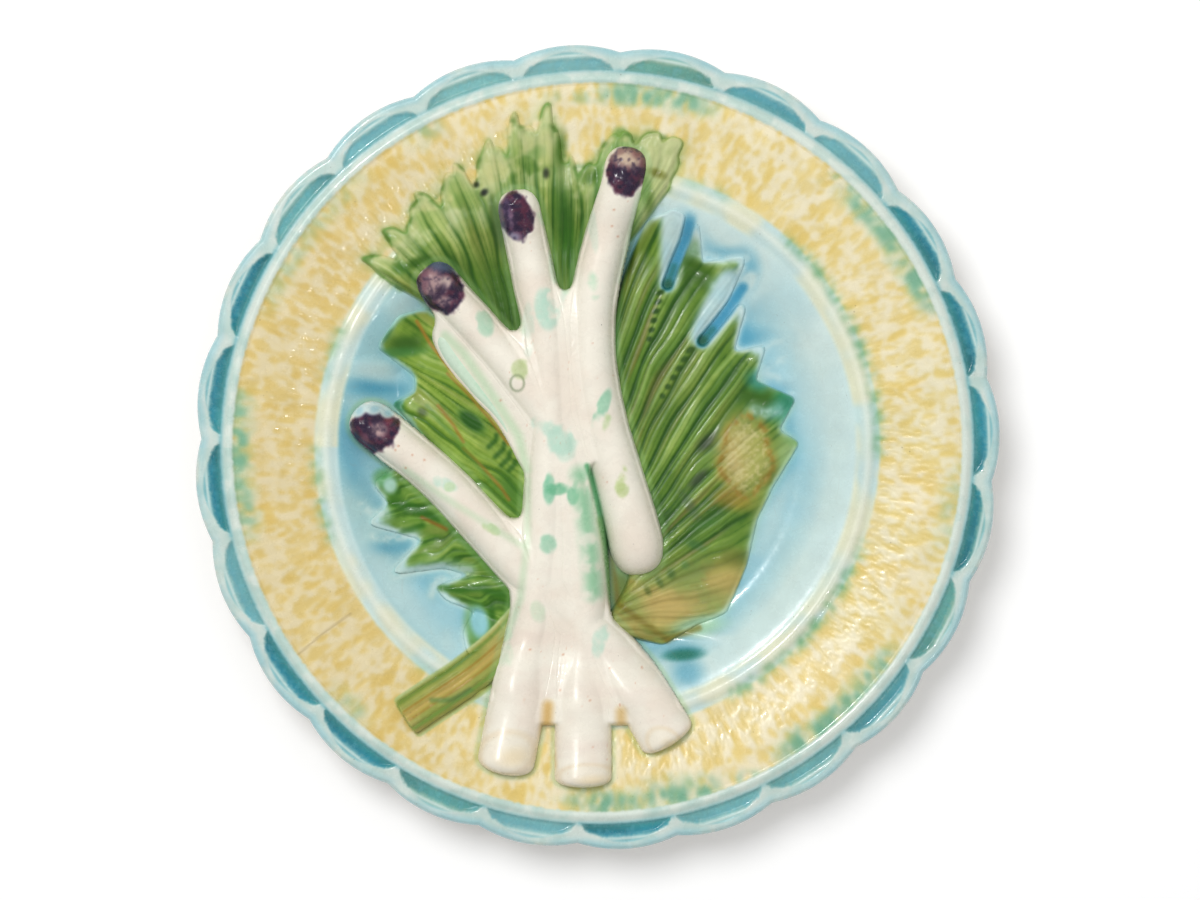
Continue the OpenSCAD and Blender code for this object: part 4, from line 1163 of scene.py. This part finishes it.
def under_colour(x, y):
    """Cream glaze under the plate, bare clay on the foot ring, and the stilts' marks."""
    r = np.hypot(x, y)
    tone = noise(x / 12 + 40, y / 12 + 40, 51, 4)[..., None]
    colours = np.array(FOOT_CREAM) * (.92 + .1 * tone)
    bare = (np.exp(-((r - FOOT_R + FOOT_W / 2) / 2.2) ** 4))[..., None]
    colours = colours * (1 - bare) + np.array(CLAY) * bare * (.9 + .2 * tone)
    for turn in STILT_TURNS:
        away = np.hypot(x - STILT_R * np.cos(turn), y - STILT_R * np.sin(turn))
        mark = np.exp(-(away / STILT_W) ** 2)[..., None]
        colours = colours * (1 - .7 * mark) + np.array(BROWN) * .7 * mark
    return colours


def body_ring(first_r, last_r, rows, columns, low_count, border):
    """A ring of the plate's body, closed with its underside. The border's last row follows the scallops."""
    angle = np.arange(columns) * 2 * np.pi / columns
    radii = np.linspace(first_r, last_r, rows)
    a, r = np.meshgrid(angle, radii)
    if border:
        _, u, v = in_scallop(np.cos(angle) * 100, np.sin(angle) * 100)
        tilt = np.arctan2(v, u)
        edge = OUTLINE[0] * np.cos(tilt) + np.sqrt(OUTLINE[1] ** 2 - (OUTLINE[0] * np.sin(tilt)) ** 2)
        share = (radii - first_r) / (last_r - first_r)
        r = first_r + share[:, None] * (edge - EDGE_GAP - first_r)[None]
    x, y = r * np.cos(a), r * np.sin(a)
    top = body_z(x, y)
    if border:
        colours = np.zeros((*x.shape, 3))
        paint_border(colours, x, y)
        # Painted shade: up to a tenth darker where the border lies below its blurred surroundings.
        colours *= (1 - .10 * np.clip((sample(blur(BODY, 1.6), x, y) - top) / .8, 0, 1))[..., None]
    else:
        colours = sample(GLAZE, x, y)
    low_rows = np.unique(np.round(np.linspace(0, rows - 1, low_count)).astype(int))[::-1]
    low = np.minimum(np.maximum(under_z(r[low_rows]) + UNDER_GAP, 0), top[low_rows] - THINNEST)
    xyz = np.concatenate([np.stack([x, y, top], -1), np.stack([x[low_rows], y[low_rows], low], -1)])
    if border:  # a rounded edge between the top and the underside
        xyz[rows - 1, :, 2] -= EDGE_DROP
    colours = np.concatenate([colours, under_colour(x[low_rows], y[low_rows])])
    quads = grid_faces(len(xyz) + 1, columns, True) % (len(xyz) * columns)  # the last row joins the first
    return xyz.reshape(-1, 3), quads[:, ::-1], colours.reshape(-1, 3)


def build_body():
    for name, sizes in RINGS.items():
        piece(name, *body_ring(*sizes, name == "body_border"), "body_glaze", "plate_body", np.radians(50))


def closed_sheet(x, y, z, paint_from, keep):
    """A thick closed sheet from grid points, with the cells where keep is true, and its own flat sides."""
    quads = grid_faces(*x.shape)[keep.ravel()]
    top, colours = np.stack([x, y, z], -1).reshape(-1, 3), sample(paint_from, x, y).reshape(-1, 3)
    n = len(top)
    low = top.copy()
    low[:, 2] = np.minimum(top[:, 2] - SHEET_T, drape_z(np.hypot(top[:, 0], top[:, 1])) - SHEET_SINK)
    start, end = np.concatenate([quads[:, [k, (k + 1) % 4]] for k in range(4)]).T
    alone = ~np.isin(start * n + end, end * n + start)
    start, end = start[alone], end[alone]
    sides = np.stack([end, start, start + n, end + n], -1)
    faces = np.concatenate([quads, quads[:, ::-1] + n, sides])
    used, inverse = np.unique(faces, return_inverse=True)
    # The underside takes the top's colour at six tenths: painted shade.
    verts, painted = np.concatenate([top, low]), np.concatenate([colours, colours * .6])
    return verts[used], inverse.reshape(faces.shape), painted[used]


def build_sheet(name, where, margin, step, heights, paint_from, slot, replaced):
    """A closed sheet over the box of a field's true cells; heights also gives the corners to keep."""
    ys, xs = np.where(where)
    x, y = np.meshgrid(np.arange(LINE[xs.min()] - margin, LINE[xs.max()] + margin, step),
                       np.arange(LINE[ys.min()] - margin, LINE[ys.max()] + margin, step))
    z, corner = heights(x, y)
    keep = corner[:-1, :-1] & corner[1:, :-1] & corner[:-1, 1:] & corner[1:, 1:]
    piece(name, *closed_sheet(x, y, z, paint_from, keep), slot, replaced)


def build_leaf(name):
    f = LEAF[name]

    def heights(x, y):
        z = sample(BODY, x, y) + sample(f["height"], x, y)
        over = np.max([sample(top, x, y) for top in SPEAR_Z.values()], 0)
        wide_enough = sample(f["wide"], x, y) > (HOOK_SLIVER if name == "leaf_lower" else SLIVER)
        kept = (sample(f["soft"], x, y) > LEAF_FROM) & wide_enough & (over < z + LEAF_HIDDEN)
        return np.where(over > z + UNDER_SPEAR, np.minimum(z, over - UNDER_SPEAR), z), kept

    build_sheet(name + "_glazed", f["soft"] > .1, 1, LEAF_STEP, heights, GLAZE, "leaf_glaze", name)


def build_web():
    """The glaze-filled web between the spears and the side shoot."""
    def heights(x, y):
        over = sample(SPEARS_TOP, x, y)
        z = np.maximum(joined(sample(WEB_Z, x, y), over, x, y) - BELOW_CAD, drape_z(np.hypot(x, y)) - 1)
        return z, (sample(WEB_ON, x, y) > WEB_FROM) & (over < z + WEB_HIDDEN)

    build_sheet("spear_web_glazed", WEB_ON > .5, 0, WEB_STEP, heights, SPEAR_GLAZE,
                "spear_glaze", "spear_upper")


def round_form(name, form, top_over, slot, replaced, paint_from, rows, cols):
    """A moulded round form, closed under itself; form gives its stations and top_over its heights."""
    t, k = np.meshgrid(np.linspace(0, 1, rows), np.linspace(0, 1, cols), indexing="ij")
    s = -np.cos(np.pi * k)
    middle, side, half, ends = form(t)
    place = middle + side * (s * half * np.maximum(ends, .12))[..., None]
    x, y = place[..., 0], place[..., 1]
    z, keep = top_over(x, y, t, s, ends), np.ones((rows - 1, cols - 1), bool)
    verts, faces, colours = closed_sheet(x, y, z, paint_from, keep)
    piece(name, verts, faces[:, ::-1], colours, slot, replaced)


def build_spear(name):
    others = np.max([SPEAR_Z[n] for n in SPEARS if n != name] + [WEB_Z], 0)
    head_x, head_y, _, head_half, _ = BUDS[name]
    head_x, head_y = seen(head_x, head_y)

    def top_over(x, y, t, s, _):
        near_head = np.exp(-(np.hypot(x - head_x, y - head_y) / (1.1 * head_half * SEEN_MM)) ** 4)
        own = spear_top(name, t, s)[1]
        own = own + .5 * near_head * (noise(x / 1.9, y / 1.9, 52, 2) - .5) * 2 * np.clip(1 - s * s, 0, 1)
        own = own + .12 * (noise(x / 8, y / 8, 53, 2) - .5)
        return np.maximum(joined(own, sample(others, x, y), x, y) - BELOW_CAD, drape_z(np.hypot(x, y)) - 1.0)

    round_form(name + "_glazed", lambda t: spear_stations(name, t), top_over, "spear_glaze", name,
               SPEAR_GLAZE, *SPEAR_MESH)


def build_shoot():
    def top_over(x, y, t, s, ends):
        round_over = np.clip(1 - np.abs(s) ** 2.2, 0, 1) ** .55
        own = drape_z(np.hypot(x, y)) + SHOOT_H * np.maximum(ends, .3) * round_over
        return own - .2 * np.exp(-(s / .25) ** 2) * np.clip(4 * t, 0, 1)

    colours = np.zeros_like(GLAZE)
    colours[:] = blend(CLOUD, (214, 231, 210), (200, 224, 200))
    covered, _, across = strip(SHOOT, *SHOOT_FORM, .8)
    across = blur(across * covered, .3) / (blur(covered.astype(float), .3) + 1e-6)
    paint(colours, ease((np.abs(across) - .55) / .4), (112, 178, 124), .7)
    paint(colours, np.exp(-((across - .15) / .2) ** 2) * ease(3 * FINE - 1), (160, 206, 172), .4)
    paint_spots(colours, SHOOT_SPOTS, soft=.8)
    round_form("side_shoot_glazed", lambda t: stations(SHOOT, t, *SHOOT_FORM), top_over, "shoot_glaze",
               "side_shoot", colours, *SHOOT_MESH)


def build_stalk():
    def top_over(x, y, t, s, ends):
        round_over = np.clip(1 - np.abs(s) ** 2.6, 0, 1) ** .5
        own = drape_z(np.hypot(x, y)) + STALK_H * np.maximum(ends, .3) * round_over
        own -= .7 * np.exp(-((s - .1) / .16) ** 2) + .45 * np.exp(-((np.abs(s + .05) - .55) / .1) ** 2)
        return own + .25 * (noise(t * 30, s * 6, 54, 2) - .5)

    round_form("leaf_stalk_glazed", lambda t: stations(STALK, t, *STALK_FORM), top_over, "stalk_glaze",
               "leaf_stalk", GLAZE, *STALK_MESH)


build_body()
for part in LEAVES:
    build_leaf(part)
for part in SPEARS:
    build_spear(part)
build_web()
build_shoot()
build_stalk()

# Floor, light and camera, in metres
FLOOR_HALF, FLOOR_GLOW, ROOM_LIGHT = 3, .2, .45
CAMERA_AT, LENS_MM, SENSOR_MM = (.0008, -.00083, .952 + .0208), 100, 36
# Name, place, width and power of each lamp, and whether it is only mirrored in the glazes
LAMPS = [("key", (-.36, .42, 1.15), .62, 9.5, False), ("fill", (.8, .1, 1.2), 1.4, 2.3, False),
         ("window", (-.42, .48, 1.2), .15, 4.5, True), ("glint", (.42, -.30, 1.3), .07, .5, True)]
LAMPS_AIM = (0, 0, .01)


def build_floor():
    """A matt ground that takes the plate's shadow, and is white where the camera or a glaze sees it."""
    mesh = bpy.data.meshes.new("floor")
    corners = [(-1, -1), (1, -1), (1, 1), (-1, 1)]
    mesh.from_pydata([(FLOOR_HALF * x, FLOOR_HALF * y, 0) for x, y in corners], [], [(0, 1, 2, 3)])
    floor = bpy.data.objects.new("floor", mesh)
    bpy.context.scene.collection.objects.link(floor)
    mat, tree = empty_material("floor_white")
    rays = node(tree, "LightPath").outputs
    either = maths(tree, "MAXIMUM", rays["Is Camera Ray"], rays["Is Glossy Ray"])
    any_ray = maths(tree, "MAXIMUM", either, rays["Is Transmission Ray"])
    glow = node(tree, "Emission", Color=WHITE, Strength=maths(tree, "MULTIPLY", any_ray, FLOOR_GLOW))
    both = node(tree, "AddShader")
    feed(tree, both.inputs[0], node(tree, "BsdfDiffuse", Color=GREY_FLOOR).outputs[0])
    feed(tree, both.inputs[1], glow.outputs[0])
    node(tree, "OutputMaterial", Surface=both.outputs[0])
    mesh.materials.append(mat)


def add_lamp(name, place, size, power, mirrored):
    """A round lamp that either lights the scene softly or is only mirrored in its glazes."""
    data = bpy.data.lights.new(name, "AREA")
    data.shape, data.size, data.energy = "DISK", size, power
    lamp = bpy.data.objects.new(name, data)
    lamp.location = place
    lamp.visible_glossy, lamp.visible_diffuse = mirrored, not mirrored
    lamp.rotation_euler = (Vector(LAMPS_AIM) - Vector(place)).to_track_quat("-Z", "Y").to_euler()
    bpy.context.scene.collection.objects.link(lamp)


def build_light_and_camera():
    for lamp in LAMPS:
        add_lamp(*lamp)
    scene = bpy.context.scene
    scene.world = bpy.data.worlds.new("soft_room")
    scene.world.use_nodes = True
    background = scene.world.node_tree.nodes["Background"]
    background.inputs["Color"].default_value = WHITE
    background.inputs["Strength"].default_value = ROOM_LIGHT
    data = bpy.data.cameras.new("camera")
    data.lens, data.sensor_width = LENS_MM, SENSOR_MM
    scene.camera = bpy.data.objects.new("camera", data)
    scene.camera.location = CAMERA_AT
    scene.collection.objects.link(scene.camera)
    scene.view_settings.view_transform = "Standard"


build_floor()
build_light_and_camera()
